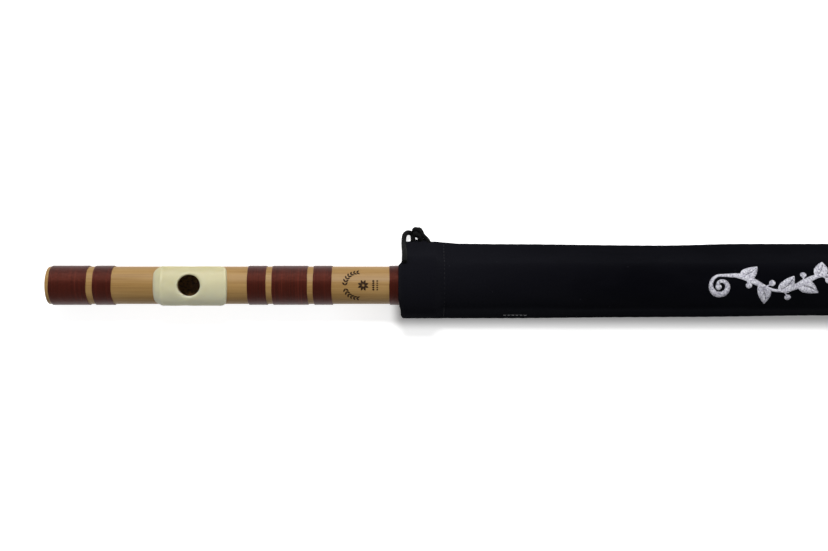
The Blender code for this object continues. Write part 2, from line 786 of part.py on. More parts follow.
def make_cord_curve(name, points, radii, axis, finish):
    curve = bpy.data.curves.new(name, "CURVE")
    curve.dimensions = "3D"
    curve.bevel_depth = CORD_RADIUS
    curve.bevel_resolution = 2
    curve.use_fill_caps = True
    spline = curve.splines.new("POLY")
    spline.points.add(len(points) - 1)
    for spot, point, radius in zip(spline.points, points, radii):
        spot.co = (point[0], point[1], TABLE + point[2], 1.0)
        spot.radius = radius
    finish_object(name, curve, axis, finish)


def make_drawstring_ends(axis, finish):
    tail = smooth_route(TAIL_ROUTE, CORD_DIAMETER)
    make_cord_curve("drawstring_tail", tail, [1.0] * len(tail), axis, finish)
    knot = [point[:3] for point in KNOT_ROUTE]
    make_cord_curve("drawstring_knot", knot, [point[3] for point in KNOT_ROUTE], axis, finish)


def prism(bm, outline):
    """An upright block over a flat outline of (x, y) points, through the front of the cover."""
    rows = [[bm.verts.new((x, y, z)) for x, y in outline] for z in (0.0, 2 * COVER_OUTER)]
    bm.faces.new(rows[0])
    bm.faces.new(rows[1])
    for k in range(len(outline)):
        j = (k + 1) % len(outline)
        bm.faces.new((rows[0][k], rows[0][j], rows[1][j], rows[1][k]))


def sprig_side(share):
    return SPRIG_SIDE_SHIFT + SPRIG_WAVE * math.sin(math.tau * SPRIG_WAVES * share)


def sprig_slope(share):
    """The stem's lean from the length of the cover."""
    steepest = math.tau * SPRIG_WAVES * SPRIG_WAVE / SPRIG_LENGTH
    return math.atan(steepest * math.cos(math.tau * SPRIG_WAVES * share))


def make_sprig(axis, finish):
    """A waving stem with leaves to both sides, as one thin pad of stitches on the front."""
    stem = []
    shares = [k / SPRIG_STEPS for k in range(SPRIG_STEPS + 1)]
    for side, there in ((1, shares), (-1, shares[::-1])):
        for share in there:
            stem.append((SPRIG_AT + SPRIG_LENGTH * share, sprig_side(share) + side * SPRIG_STEM / 2))
    bm = bmesh.new()
    prism(bm, stem)
    for k in range(SPRIG_LEAVES):
        share = (k + FIRST_LEAF_SHARE) / (SPRIG_LEAVES - 1 + 2 * FIRST_LEAF_SHARE)
        side = 1 if k % 2 else -1
        root = Vector((SPRIG_AT + SPRIG_LENGTH * share, sprig_side(share)))
        heading = sprig_slope(share) + side * LEAF_LEAN
        lengthwise = Vector((math.cos(heading), math.sin(heading)))
        crosswise = Vector((-lengthwise.y, lengthwise.x))
        outline = []
        for step in range(LEAF_STEPS):
            turn = math.tau * step / LEAF_STEPS
            reach = LEAF_LENGTH / 2 * (1 - math.cos(turn))
            spread = LEAF_WIDTH / 2 * math.sin(turn) * (1 - LEAF_TAPER * math.cos(turn))
            outline.append(tuple(root + lengthwise * reach + crosswise * spread))
        prism(bm, outline)
    cutter = finish_mesh("sprig_outline", bm, axis, finish)
    hide_cutter(cutter)

    low = COVER_OUTER + GAP
    start = SPRIG_AT - LEAF_LENGTH
    stop = SPRIG_AT + SPRIG_LENGTH + LEAF_LENGTH
    outer = []
    inner = []
    for k in range(SPRIG_PAD_STEPS + 1):
        x = start + (stop - start) * k / SPRIG_PAD_STEPS
        near, far = slopes_at(x, COVER_OUTER)
        outer.append(along(x, arch_outline(low + SPRIG_HEIGHT, near, far, FRONT_BASE)))
        inner.append(along(x, arch_outline(low, near, far, FRONT_BASE)))
    pad = finish_mesh("embroidered_sprig", thick_sheet(outer, inner, wrap=False), axis, finish)
    cut_with(pad, cutter, "INTERSECT", overlapping=True)


def build():
    clear_scene()
    bamboo = material("bamboo", (0.30, 0.17, 0.07), 0.38)
    thread = material("polyester_thread", (0.06, 0.012, 0.008), 0.55)
    resin = material("cast_resin", (0.60, 0.55, 0.37), 0.22)
    cork = material("cork", (0.42, 0.26, 0.13), 0.85)
    velvet = material("black_velvet", (0.006, 0.006, 0.009), 0.9)
    lining = material("black_cotton", (0.010, 0.010, 0.012), 0.8)
    cord = material("braided_cord", (0.014, 0.013, 0.012), 0.75)
    silver_thread = material("silver_grey_thread", (0.55, 0.56, 0.58), 0.45)

    flute_axis = empty("flute_axis", (-MIDDLE_X, -MIDDLE_Y, AXIS_HEIGHT))
    cover_axis = empty("cover_axis", (COVER_MOUTH_AT, 0.0, 0.0), flute_axis)

    drills = make_tube(flute_axis, bamboo)
    make_cork(flute_axis, cork)
    make_bindings(flute_axis, thread)
    make_lip_plate(flute_axis, resin, drills)

    make_front_panel(cover_axis, velvet)
    make_back_panel(cover_axis, velvet)
    make_casing(cover_axis, velvet, lining)
    make_casing_stitching(cover_axis, cord)
    make_seam_allowances(cover_axis, lining)
    make_casing_cord(cover_axis, cord)
    make_drawstring_ends(cover_axis, cord)
    make_sprig(cover_axis, silver_thread)


build()
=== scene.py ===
"""The looks of a bansuri that lies half drawn into its velvet drawstring cover.

Metres, +Z up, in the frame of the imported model: the head end is at -X, the closed end of the cover at +X.
"""

import math

import bmesh
import bpy
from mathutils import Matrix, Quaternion, Vector, noise


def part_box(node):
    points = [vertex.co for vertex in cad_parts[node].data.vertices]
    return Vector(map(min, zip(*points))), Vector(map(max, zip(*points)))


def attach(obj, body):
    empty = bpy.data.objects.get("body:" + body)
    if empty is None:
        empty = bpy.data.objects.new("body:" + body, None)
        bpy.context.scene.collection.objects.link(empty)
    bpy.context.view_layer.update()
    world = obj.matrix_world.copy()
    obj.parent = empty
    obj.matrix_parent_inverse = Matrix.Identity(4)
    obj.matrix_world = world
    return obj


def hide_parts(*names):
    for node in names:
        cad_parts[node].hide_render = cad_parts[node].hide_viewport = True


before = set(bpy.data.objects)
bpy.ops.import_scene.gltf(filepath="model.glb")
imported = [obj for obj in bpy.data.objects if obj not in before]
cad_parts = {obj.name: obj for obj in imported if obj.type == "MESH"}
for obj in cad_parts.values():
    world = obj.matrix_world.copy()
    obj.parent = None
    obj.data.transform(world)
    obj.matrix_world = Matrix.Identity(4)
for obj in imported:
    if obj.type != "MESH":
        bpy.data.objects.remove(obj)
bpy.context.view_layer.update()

MM = 0.001

# Places taken from the frame
TUBE_LOW, TUBE_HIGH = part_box("bamboo_tube")
CORK_LOW, CORK_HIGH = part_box("cork_stopper")
HEAD_X = TUBE_LOW.x
FOOT_X = TUBE_HIGH.x
AXIS_Y = (TUBE_LOW.y + TUBE_HIGH.y) / 2
AXIS_Z = (TUBE_LOW.z + TUBE_HIGH.z) / 2
MOUTH_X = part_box("casing_outer")[0].x
COVER_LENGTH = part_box("cover_back_panel")[1].x - MOUTH_X

# Bamboo
TUBE_RADIUS = (TUBE_HIGH.z - TUBE_LOW.z) / 2
BORE_RADIUS = 8.5 * MM
TUBE_SIDES = 96
TUBE_SECTIONS = 60
TUBE_WANDER = 0.05 * MM
TUBE_WAVE_LENGTH = 45 * MM
TUBE_WAVE_WIDTH = 9 * MM
RIM_ROUND = 0.35 * MM
UNBURNT_END = 4 * MM
# The blow hole's middle from the head end, its length and its width
BLOW_HOLE = (83.25 * MM, 13.0 * MM, 12.8 * MM)
# The finger holes and the vent hole: each one's middle from the head end, and its width
FINGER_HOLES = (
    (227.9 * MM, 9.0 * MM),
    (252.5 * MM, 9.0 * MM),
    (280.8 * MM, 9.0 * MM),
    (313.0 * MM, 7.5 * MM),
    (329.8 * MM, 9.0 * MM),
    (364.9 * MM, 9.0 * MM),
    (404.5 * MM, 8.0 * MM),
)
HOLE_SIDES = 48
HOLE_FLARE = 0.35 * MM
# The drill's upper steps: how far each rises and how much it widens all round, in millimetres
FLARE_STEPS = ((0.20, 0.05), (0.15, 0.30), (3.0, 0.30))
DRILL_START = 3 * MM

# Cork
CORK_SIDES = 72
CORK_SECTIONS = 16
CORK_ROUND = 0.9 * MM
CORK_PIT_SIZE = 0.9 * MM
CORK_PIT_DEPTH = 0.25 * MM

# Thread bindings
BINDINGS = (
    "binding_head_wide",
    "binding_head_narrow",
    "binding_middle_first",
    "binding_middle_wide",
    "binding_middle_last",
    "binding_mouth",
    "binding_between_hands",
    "binding_lower",
    "binding_foot_narrow",
    "binding_foot_wide",
)
THREAD_RADIUS = 0.28 * MM
THREAD_PITCH = 0.47 * MM
THREAD_SIDES = 6
THREAD_STEPS = 44
THREAD_WANDER = 0.05 * MM
THREAD_WANDER_RUN = 0.6 * MM
THREAD_DRIFT = 0.25 * MM
WINDING_OVERRUN = 0.25 * MM

# Lip plate
PLATE_START = 62.4 * MM
PLATE_LENGTH = 42.8 * MM
PLATE_THICKNESS = 2.05 * MM
PLATE_NEAR_ANGLE = math.radians(70)
PLATE_FAR_ANGLE = math.radians(62)
PLATE_HEAD_CORNER = 5.6 * MM
PLATE_FOOT_CORNER = 3.2 * MM
PLATE_FOOT_BOW = 1.3 * MM
PLATE_EDGE = 1.1 * MM
PLATE_RAMP = 4.5 * MM
PLATE_RAMP_DROP = 1.25 * MM
PLATE_RIDGE = 0.16 * MM
PLATE_RIDGE_SPREAD = 0.6 * MM
PLATE_DENTS = 0.16 * MM
PLATE_DENT_LENGTH = 7 * MM
PLATE_GLUE = 0.03 * MM
PLATE_SPOKES = 192
HOLE_RISE = 0.12 * MM
HOLE_RISE_AT = 1.6 * MM
HOLE_RISE_SPREAD = 1.3 * MM
HOLE_LIP = 0.75 * MM
# A spoke's points in millimetres: up the hole's wall, out from the hole, and back from the outline
WALL_HEIGHTS = (0.0, 0.6, 1.0, 1.25)
NEAR_STEPS = (0.0, 0.06, 0.16, 0.32, 0.55, 0.9, 1.4, 2.0, 2.8)
FAR_STEPS = (3.0, 2.2, 1.5, 1.0, 0.7, 0.45, 0.25, 0.1, 0.02, 0.0)
MIDDLE_STEPS = 22

# Velvet cover, measured from its mouth and from the flute's axis
CLOTH = 0.9 * MM
COVER_OUTER = 14.6 * MM
COVER_BORE = 13.75 * MM
CASING_DEPTH = 25.6 * MM
CASING_PUFF = 3.9 * MM
PUFF_RISES_OVER = 2.6 * MM
PUFF_ENDS_PAST = 0.3 * MM
PUFF_FALLS_OVER = 6.5 * MM
# How far from the mouth the velvet's painted light fades out
PAINTED_LIGHT_LENGTH = 130 * MM
CLOSING_LENGTH = 30 * MM
END_CORNER = 6 * MM
OUTER_CORNER = 1.1 * MM
INNER_CORNER = 0.5 * MM
INNER_FLOOR = CLOTH * 0.9
NEAR_SAG = 0.35 * MM
FAR_SAG = 0.6 * MM
ARCH_POINTS = 44
NEAR_SLOPE_POINTS = 12
FAR_SLOPE_POINTS = 14
CORNER_POINTS = 8
BACK_POINTS = 30
# How far the cloth reaches to both sides, as marks of (distance from the mouth, reach) in millimetres
NEAR_REACH = ((60, 19.85), (140, 19.25), (170, 19.1), (250, 18.2))
FAR_REACH = (
    (4, 26.0),
    (8.5, 27.2),
    (14.5, 27.4),
    (19, 26.0),
    (38, 24.8),
    (62, 24.55),
    (155, 23.7),
    (205, 24.7),
)
# The mouth's edge lies back from its middle in steps of (depth, where it starts, over what width)
FAR_RECESS = ((1.9, 11.5, 2.2),)
NEAR_RECESS = ((0.55, 8.0, 3.0), (0.6, 12.0, 2.5), (1.0, 18.3, 1.2))
RECESS_FADE = 7 * MM
MOUTH_BULGE = 0.4 * MM
FOLD_STEPS = 6
# Folds of the cloth: each kind's length, its width, and how many millimetres it lifts the cloth. They lie
# flat on the table, are free from a height on, and grow where no flute fills the cover
SWELL_LENGTH, SWELL_WIDTH, SWELL_LIFT = 42 * MM, 17 * MM, 0.25
FINE_LENGTH, FINE_WIDTH, FINE_LIFT = 9 * MM, 8 * MM, 0.10
DIAGONAL_LENGTH, DIAGONAL_WIDTH, DIAGONAL_LIFT = 11 * MM, 55 * MM, 0.25
FOLDS_FREE_HEIGHT = 8 * MM
LOOSE_FROM = 240 * MM
LOOSE_OVER = 60 * MM
LOOSE_SWELL_LIFT = 1.1
LOOSE_DIAGONAL_LIFT = 0.9
# The small waves that the side seams pull into the cloth's edge
PUCKER = 0.05 * MM
PUCKER_LENGTH = 7.3 * MM
PUCKER_DRIFT_LENGTH = 16 * MM
PUCKER_HEIGHT = 3.5 * MM

# Seams. A stitch leaves a share of its length open at both ends
STITCH_AT = 26.1 * MM
STITCH_GROOVE = 0.25 * MM
STITCH_GROOVE_WIDTH = 0.8 * MM
CASING_STITCH = 2.3 * MM
CASING_STITCH_GAP = 0.08
CASING_THREAD = 0.42 * MM
CASING_THREAD_RISE = 0.16 * MM
# The near seam's pale stitches are a painted glint along the cover's near edge
SEAM_SHOWS_AT = 61 * MM
SEAM_STITCH = 2.4 * MM
SEAM_STITCHES = 6
SEAM_STITCH_GAP = 0.06
SEAM_HEIGHT = 7.0 * MM
SEAM_THREAD = 0.8 * MM
SEAM_OUTWARD = (0.0, -0.93, 0.37)
TURNED_IN_WIDTH = 4.6 * MM
TURNED_IN_FROM_SEAM = 4.7 * MM
TURNED_IN_END_SHORTER = 4 * MM
TURNED_IN_WAVE = 0.3 * MM
TURNED_IN_WAVE_SIZE = 5 * MM
TURNED_IN_ROUND = 0.3 * MM

# Embroidered sprig, measured from the cover's mouth and along the arch from its crest
SPRIG_AT = 178 * MM
SPRIG_LENGTH = 132 * MM
SPRIG_SHIFT = 1.4 * MM
SPRIG_WAVE = 4.5 * MM
SPRIG_WAVES = 2.5
STEM_THIN = 1.7 * MM
STEM_THICK = 3.5 * MM
STEM_SWELLS = 5
STEM_TAPER = 0.06
STEM_TIP = 0.2
STEM_STEPS = 120
SCROLL_AT = 183.9 * MM
SCROLL_RADIUS = 6.4 * MM
SCROLL_TURNS = 1.3
SCROLL_EYE = 0.22
SCROLL_STEPS = 60
SCROLL_BERRY = 3.4 * MM
LEAF_COUNT = 12
LEAF_LENGTH = 12.4 * MM
LEAF_WIDTH = 6.9 * MM
LEAF_LEAN = math.radians(45)
LEAF_BOW = 1.3 * MM
LEAF_SLANT = 0.22
LEAF_VEIN = 0.12 * MM
LEAF_EDGE = 0.25 * MM
# A berry's stalk leaves the stem a little past the leaf, and curls further away at every step
STALK_LENGTH = 5.2 * MM
STALK_WIDTH = 0.9 * MM
STALK_STEPS = 12
STALK_PAST_LEAF = 0.018
STALK_LEAN_DEGREES = 34
STALK_CURL_DEGREES = 3
BERRY_SIZE = 3.5 * MM
STITCH_SPACING = 0.42 * MM
STITCH_WIDTH = 0.46 * MM
STITCH_SLANT = 0.3
STITCH_RISE = 0.3 * MM
STITCH_ARCH = 0.07
STITCH_RAGGED = 0.08
STITCH_RAGGED_SIZE = 0.5 * MM
# A stitch's width at its ends, and how deep its sides sink into the cloth, as shares of its width
STITCH_END = 0.55
STITCH_SINK = 0.35
BLANK_CUTS = (-0.36, -0.18, 0.0, 0.18, 0.36)

# Ink ornament, measured from the head end and round the tube from its top
RING_AT = 181.0 * MM
RING_RADIUS = 8.2 * MM
RING_PAIRS_EACH_WAY = 6
RING_STEP_DEGREES = 13
RING_LEAN_DEGREES = 42
RING_LEAF = (2.3 * MM, 1.05 * MM)
ROSETTE_AT = 183.3 * MM
ROSETTE_EYE = 0.55 * MM
ROSETTE_PETALS = 8
ROSETTE_PETAL = (2.7 * MM, 1.35 * MM)
# Rows of dots as (distance from the head end, dot size) in millimetres
DOT_ROWS = ((188.4, 1.1), (190.8, 0.9))
DOTS_IN_ROW = 5
DOT_SPACING = 1.25 * MM
DOT_LENGTHENED = 1.3
INK_STEPS = 8
INK_ABOVE_BAMBOO = 0.06 * MM
INK_THICKNESS = 0.05 * MM

# Drawstring: the tail's and the knot's routes, from the mouth, the flute's axis and the table
CORD_DIAMETER = 2.5 * MM
CORD_SIDES = 32
CORD_PLAITS = 5
CORD_LAY = 2.6 * MM
CORD_PLAIT_RISE = 0.075
CORD_CUT_END = 0.8
TAIL_FULLNESS = 1.14
TAIL_STEPS = 16
TAIL_ROUTE = (
    (0.0080, 0.0258, 0.0026),
    (0.0080, 0.0275, 0.0022),
    (0.0079, 0.0291, 0.0018),
    (0.0075, 0.0303, 0.0018),
    (0.0062, 0.0310, 0.0026),
    (0.0047, 0.0310, 0.0047),
    (0.0034, 0.0300, 0.0070),
    (0.0028, 0.0284, 0.0087),
    (0.0026, 0.0265, 0.0103),
    (0.0026, 0.0247, 0.0125),
    (0.0027, 0.0229, 0.0158),
    (0.0029, 0.0211, 0.0198),
    (0.0031, 0.0193, 0.0236),
    (0.0032, 0.0168, 0.0272),
    (0.0032, 0.0136, 0.0303),
)
LEG_ROUTE = (
    (0.0174, 0.0240, 0.0026),
    (0.0171, 0.0256, 0.0026),
    (0.0165, 0.0266, 0.0026),
    (0.0157, 0.0276, 0.0027),
    (0.0147, 0.0285, 0.0031),
    (0.0138, 0.0295, 0.0034),
    (0.0131, 0.0309, 0.0034),
    (0.0125, 0.0322, 0.0032),
)
CUT_END_ROUTE = (
    (0.0117, 0.0286, 0.0045),
    (0.0122, 0.0275, 0.0038),
    (0.0126, 0.0262, 0.0031),
    (0.0129, 0.0248, 0.0029),
)
KNOT_CENTRE = (0.0107, 0.0315, 0.0046)
KNOT_TURN = math.radians(60)
KNOT_RADIUS = 2.2 * MM
KNOT_HEIGHT = 1.5 * MM
KNOT_FULLNESS = 1.1
KNOT_STEPS = 4
KNOT_POINTS = 48
KNOT_START_DEGREES = 395
KNOT_RUN_DEGREES = 275

# Camera: straight above, its picture 828 pixels wide
CAMERA_X = -0.13445
CAMERA_FROM_AXIS = 5.66 * MM
CAMERA_ABOVE_AXIS = 0.683
CAMERA_LENS = 50.87
CAMERA_SENSOR = 36.0

# Lamps: name, place, length, width, watts, and whether it lights matt surfaces. The last one is seen in
# glosses alone: it gives the gleam along the tube, and no shadow
LAMPS = (
    ("overhead_key", (-0.10, 0.975, 1.393), 0.4, 0.4, 21.0, True),
    ("far_side_soft_box", (-0.10, 1.47, 0.88), 0.9, 0.9, 5.0, True),
    ("far_side_gleam", (-0.10, 1.50, 0.81), 2.0, 0.7, 26.0, False),
)
LAMPS_AIM = (-0.1, 0.0, 0.0)
SKY_STRENGTH = 0.28

# Paper: its own tone is paler beside the cover than far from it. The glow that the camera sees is lowest
# under the cover's near side, grows quickly beside it, slowly further off, and once more far away
# The glow is painted light: it keeps the shadow under the cover's near side and washes out the flute's shadow
PAPER_SIZE = 8.0
PAPER_BELOW = 0.05 * MM
SHADE_LOW = (MOUTH_X + 2 * MM, -22.5 * MM)
SHADE_HIGH = (MOUTH_X + COVER_LENGTH, 2 * MM)
SHADE_EDGE = 9 * MM
SHADE_FADE = (10 * MM, 45 * MM)
GLOW_IN_SHADE = 0.13
GLOW_BESIDE = 0.68
GLOW_FURTHER = 0.175
FAR_OFF = (0.5, 2.0)
GLOW_FAR_OFF = 0.6


def place(d, y, z):
    """A point given from the cover's mouth, the flute's axis and the table, in the frame."""
    return Vector((MOUTH_X + d, AXIS_Y + y, z))


def from_axis(point):
    """The way to a point, square out from the flute's axis."""
    return Vector((0.0, point.y - AXIS_Y, point.z - AXIS_Z))


def towards(turn):
    """A step of 1 on a flat surface in a direction."""
    return Vector((math.cos(turn), math.sin(turn)))


def square_to(ahead):
    """A direction on a flat surface turned by a quarter."""
    return Vector((-ahead.y, ahead.x))


def smooth_share(share):
    """A share from 0 to 1 that leaves 0 and reaches 1 gently."""
    share = min(max(share, 0.0), 1.0)
    return share * share * (3 - 2 * share)


def between_marks(d, marks):
    """The value at d on an easy curve through (distance, value) marks in millimetres."""
    for (d0, v0), (d1, v1) in zip(marks, marks[1:]):
        if d < d1 * MM:
            return (v0 + (v1 - v0) * smooth_share((d / MM - d0) / (d1 - d0))) * MM
    return marks[-1][1] * MM


def smooth_route(points, steps):
    """Points on one smooth curve through a route's own points."""
    route = [Vector(point) for point in points]
    ends = [route[0] * 2 - route[1]] + route + [route[-1] * 2 - route[-2]]
    curve = []
    for a, b, c, d in zip(ends, ends[1:], ends[2:], ends[3:]):
        for step in range(steps):
            t = step / steps
            curve.append(
                b
                + (c - a) * (t / 2)
                + (a * 2 - b * 5 + c * 4 - d) * (t * t / 2)
                + (b * 3 - a - c * 3 + d) * (t * t * t / 2)
            )
    curve.append(route[-1])
    return curve


# Materials


def colour(code):
    """An sRGB hex colour as the linear values that a shader takes."""
    channels = [int(code[i:i + 2], 16) / 255 for i in (1, 3, 5)]
    linear = [c / 12.92 if c <= 0.04045 else ((c + 0.055) / 1.055) ** 2.4 for c in channels]
    return (*linear, 1.0)


def add_node(tree, kind, settings=(), inputs=(), stops=()):
    """A node with its settings, its values or links, and a ramp's stops. A node given as an input is linked
    by its first output."""
    node = tree.nodes.new("ShaderNode" + kind)
    for name, value in dict(settings).items():
        setattr(node, name, value)
    for key, value in dict(inputs).items():
        if isinstance(value, bpy.types.Node):
            value = value.outputs[0]
        if isinstance(value, bpy.types.NodeSocket):
            tree.links.new(value, node.inputs[key])
        else:
            node.inputs[key].default_value = value
    for number, (position, code) in enumerate(stops):
        ramp = node.color_ramp.elements
        stop = ramp[number] if number < 2 else ramp.new(position)
        stop.position = position
        stop.color = colour(code)
    return node


def new_material(name, **values):
    """A material with a Principled shader: its node tree, its shader and its object coordinates."""
    made = bpy.data.materials.new(name)
    made.use_nodes = True
    tree = made.node_tree
    shader = tree.nodes["Principled BSDF"]
    for key, value in values.items():
        shader.inputs[key.replace("_", " ").title().replace("Ior", "IOR")].default_value = value
    return made, tree, shader, add_node(tree, "TexCoord").outputs["Object"]


def finish_material(tree, shader, tone, relief, gloss=None):
    """Links a material's colour, relief and roughness to its shader."""
    tree.links.new(tone, shader.inputs["Base Color"])
    tree.links.new(relief.outputs[0], shader.inputs["Normal"])
    if gloss:
        tree.links.new(gloss.outputs[0], shader.inputs["Roughness"])


def oiled_bamboo():
    """Oiled bamboo culm: straight pale and dark fibres along the tube, and fibre ends at its cut faces."""
    made, tree, shader, where = new_material("oiled_bamboo", specular_ior_level=0.13)
    # Bundles of fibres are 0.3 to 0.4 mm across, too fine to show, so they are drawn 0.75 mm across
    fibre_size = {"Scale": (1 / (45 * MM), 1 / (0.75 * MM), 1 / (0.75 * MM))}
    fibre_place = add_node(tree, "Mapping", inputs={"Vector": where, **fibre_size})
    fibres = add_node(tree, "TexNoise", inputs={"Vector": fibre_place, "Scale": 1.0, "Detail": 5.0})
    patch_size = {"Scale": (1 / (70 * MM), 1 / (9 * MM), 1 / (9 * MM))}
    patch_place = add_node(tree, "Mapping", inputs={"Vector": where, **patch_size})
    patches = add_node(tree, "TexNoise", inputs={"Vector": patch_place, "Scale": 1.0, "Detail": 2.0})
    fibre_stops = ((0.28, "#806036"), (0.50, "#9B7947"), (0.74, "#AD8B58"))
    fibre_colour = add_node(tree, "ValToRGB", inputs={0: fibres}, stops=fibre_stops)
    patch_stops = ((0.35, "#916F3F"), (0.65, "#A68554"))
    patch_colour = add_node(tree, "ValToRGB", inputs={0: patches}, stops=patch_stops)
    skin = add_node(tree, "Mix", {"data_type": "RGBA"}, {0: 0.5, 6: fibre_colour, 7: patch_colour})
    # Their ends in a cut face are drawn 0.8 mm across for the same reason
    pores = add_node(tree, "TexVoronoi", inputs={"Vector": where, "Scale": 1 / (0.8 * MM)})
    pore_stops = ((0.10, "#5A3C1C"), (0.32, "#B79A66"))
    end_colour = add_node(tree, "ValToRGB", inputs={0: pores}, stops=pore_stops)
    facing = add_node(tree, "SeparateXYZ", inputs={0: add_node(tree, "NewGeometry").outputs["Normal"]})
    along = add_node(tree, "Math", {"operation": "ABSOLUTE"}, {0: facing})
    cut_face = add_node(tree, "Math", {"operation": "GREATER_THAN"}, {0: along, 1: 0.85})
    whole = add_node(tree, "Mix", {"data_type": "RGBA"}, {0: cut_face, 6: skin.outputs[2], 7: end_colour})
    gloss = add_node(tree, "MapRange", inputs={0: fibres, 3: 0.30, 4: 0.46})
    relief = add_node(tree, "Bump", inputs={"Strength": 0.35, "Distance": 0.04 * MM, "Height": fibres})
    finish_material(tree, shader, whole.outputs[2], relief, gloss)
    return made


def scorched_bamboo():
    """Bamboo burnt dark where a hot rod made the holes, and the dim wall of the bore."""
    made, tree, shader, where = new_material("scorched_bamboo", roughness=0.7)
    char = add_node(tree, "TexNoise", inputs={"Vector": where, "Scale": 1 / (1.6 * MM), "Detail": 4.0})
    tone = add_node(tree, "ValToRGB", inputs={0: char}, stops=((0.35, "#4A3117"), (0.70, "#86612F")))
    relief = add_node(tree, "Bump", inputs={"Strength": 0.5, "Distance": 0.1 * MM, "Height": char})
    finish_material(tree, shader, tone.outputs[0], relief)
    return made


def wound_thread():
    """Dark red polyester thread, satin: a red gleam, and single turns paler or darker than the next."""
    made, tree, shader, where = new_material("wound_polyester_thread", specular_tint=colour("#D9806C"))
    turn_size = {"Scale": (1 / THREAD_PITCH, 1 / (26 * MM), 1 / (26 * MM))}
    turn_place = add_node(tree, "Mapping", inputs={"Vector": where, **turn_size})
    turns = add_node(tree, "TexNoise", inputs={"Vector": turn_place, "Scale": 0.7, "Detail": 3.0})
    stops = ((0.30, "#270A06"), (0.50, "#34100A"), (0.64, "#3D140D"), (0.82, "#5D2A1F"))
    tone = add_node(tree, "ValToRGB", inputs={0: turns}, stops=stops)
    # The filaments are 0.02 mm across, too fine to show, so they are drawn in bundles of 0.2 mm
    strands = add_node(tree, "TexNoise", inputs={"Vector": where, "Scale": 1 / (0.2 * MM), "Detail": 2.0})
    gloss = add_node(tree, "MapRange", inputs={0: turns, 3: 0.30, 4: 0.42})
    relief = add_node(tree, "Bump", inputs={"Strength": 0.4, "Distance": 0.03 * MM, "Height": strands})
    finish_material(tree, shader, tone.outputs[0], relief, gloss)
    return made


def cast_resin():
    """Cream cast resin, polished: faintly clouded, with painted shade from a paler near side to a darker far
    side, letting a little light in.
    """
    made, tree, shader, where = new_material(
        "cast_resin",
        subsurface_weight=0.6,
        subsurface_radius=(1.0, 0.85, 0.6),
        subsurface_scale=7.0 * MM,
        specular_ior_level=0.15,
        coat_weight=0.06,
        coat_roughness=0.15,
    )
    cloud = add_node(tree, "TexNoise", inputs={"Vector": where, "Scale": 1 / (11 * MM), "Detail": 3.0})
    # Painted shade: the tone runs from pale on the plate's near side to darker on its far side.
    side = add_node(tree, "SeparateXYZ", inputs={0: where}).outputs[1]
    across = add_node(tree, "MapRange", inputs={0: side, 1: AXIS_Y - 12 * MM, 2: AXIS_Y + 12 * MM})
    clouding_and_painted_shade = add_node(tree, "Math", {"operation": "MULTIPLY_ADD"}, {0: cloud, 1: -0.25, 2: across})
    stops = ((0.0, "#E2DCBB"), (0.42, "#CDC6A1"), (0.85, "#BFB78F"))
    tone = add_node(tree, "ValToRGB", inputs={0: clouding_and_painted_shade}, stops=stops)
    polish = add_node(tree, "TexNoise", inputs={"Vector": where, "Scale": 1 / (0.9 * MM), "Detail": 4.0})
    gloss = add_node(tree, "MapRange", inputs={0: polish, 3: 0.24, 4: 0.36})
    relief = add_node(tree, "Bump", inputs={"Strength": 0.15, "Distance": 0.05 * MM, "Height": cloud})
    finish_material(tree, shader, tone.outputs[0], relief, gloss)
    return made


def black_velvet():
    """Short-pile cotton velvet, black: light sinks in, and painted light makes it a little paler towards the
    mouth.
    """
    made, tree, shader, where = new_material(
        "black_velvet",
        roughness=0.95,
        specular_ior_level=0.0,
        sheen_weight=0.035,
        sheen_roughness=0.6,
        sheen_tint=colour("#B9BCCB"),
    )
    brush_size = {"Scale": (1 / (30 * MM), 1 / (12 * MM), 1 / (12 * MM))}
    brush_place = add_node(tree, "Mapping", inputs={"Vector": where, **brush_size})
    brush_kind = {"Scale": 1.0, "Detail": 4.0, "Distortion": 0.6}
    brushed = add_node(tree, "TexNoise", inputs={"Vector": brush_place, **brush_kind})
    stops = ((0.30, "#050508"), (0.55, "#07070B"), (0.78, "#0A0A0E"))
    deep = add_node(tree, "ValToRGB", inputs={0: brushed}, stops=stops)
    # Painted light: the black is mixed towards a paler grey at the mouth, fading out along the cover
    along = add_node(tree, "SeparateXYZ", inputs={0: where})
    painted_light_range = {1: MOUTH_X, 2: MOUTH_X + PAINTED_LIGHT_LENGTH, 3: 1.0, 4: 0.0}
    painted_light_at_mouth = add_node(tree, "MapRange", inputs={0: along, **painted_light_range})
    tone = add_node(tree, "Mix", {"data_type": "RGBA"}, {0: painted_light_at_mouth, 6: deep, 7: colour("#121217")})
    # A speck of lint about every 9 mm
    lint = add_node(tree, "TexVoronoi", inputs={"Vector": where, "Scale": 1 / (9 * MM), "Randomness": 1.0})
    specks = add_node(tree, "Math", {"operation": "LESS_THAN"}, {0: lint, 1: 0.028})
    dust = {0: specks, 6: tone.outputs[2], 7: colour("#2E2E34")}
    dusted = add_node(tree, "Mix", {"data_type": "RGBA"}, dust)
    # The pile's hairs are too fine to show, so it is drawn in tufts 0.35 mm across
    pile = add_node(tree, "TexNoise", inputs={"Vector": where, "Scale": 1 / (0.35 * MM), "Detail": 3.0})
    relief = add_node(tree, "Bump", inputs={"Strength": 0.55, "Distance": 0.25 * MM, "Height": pile})
    finish_material(tree, shader, dusted.outputs[2], relief)
    return made


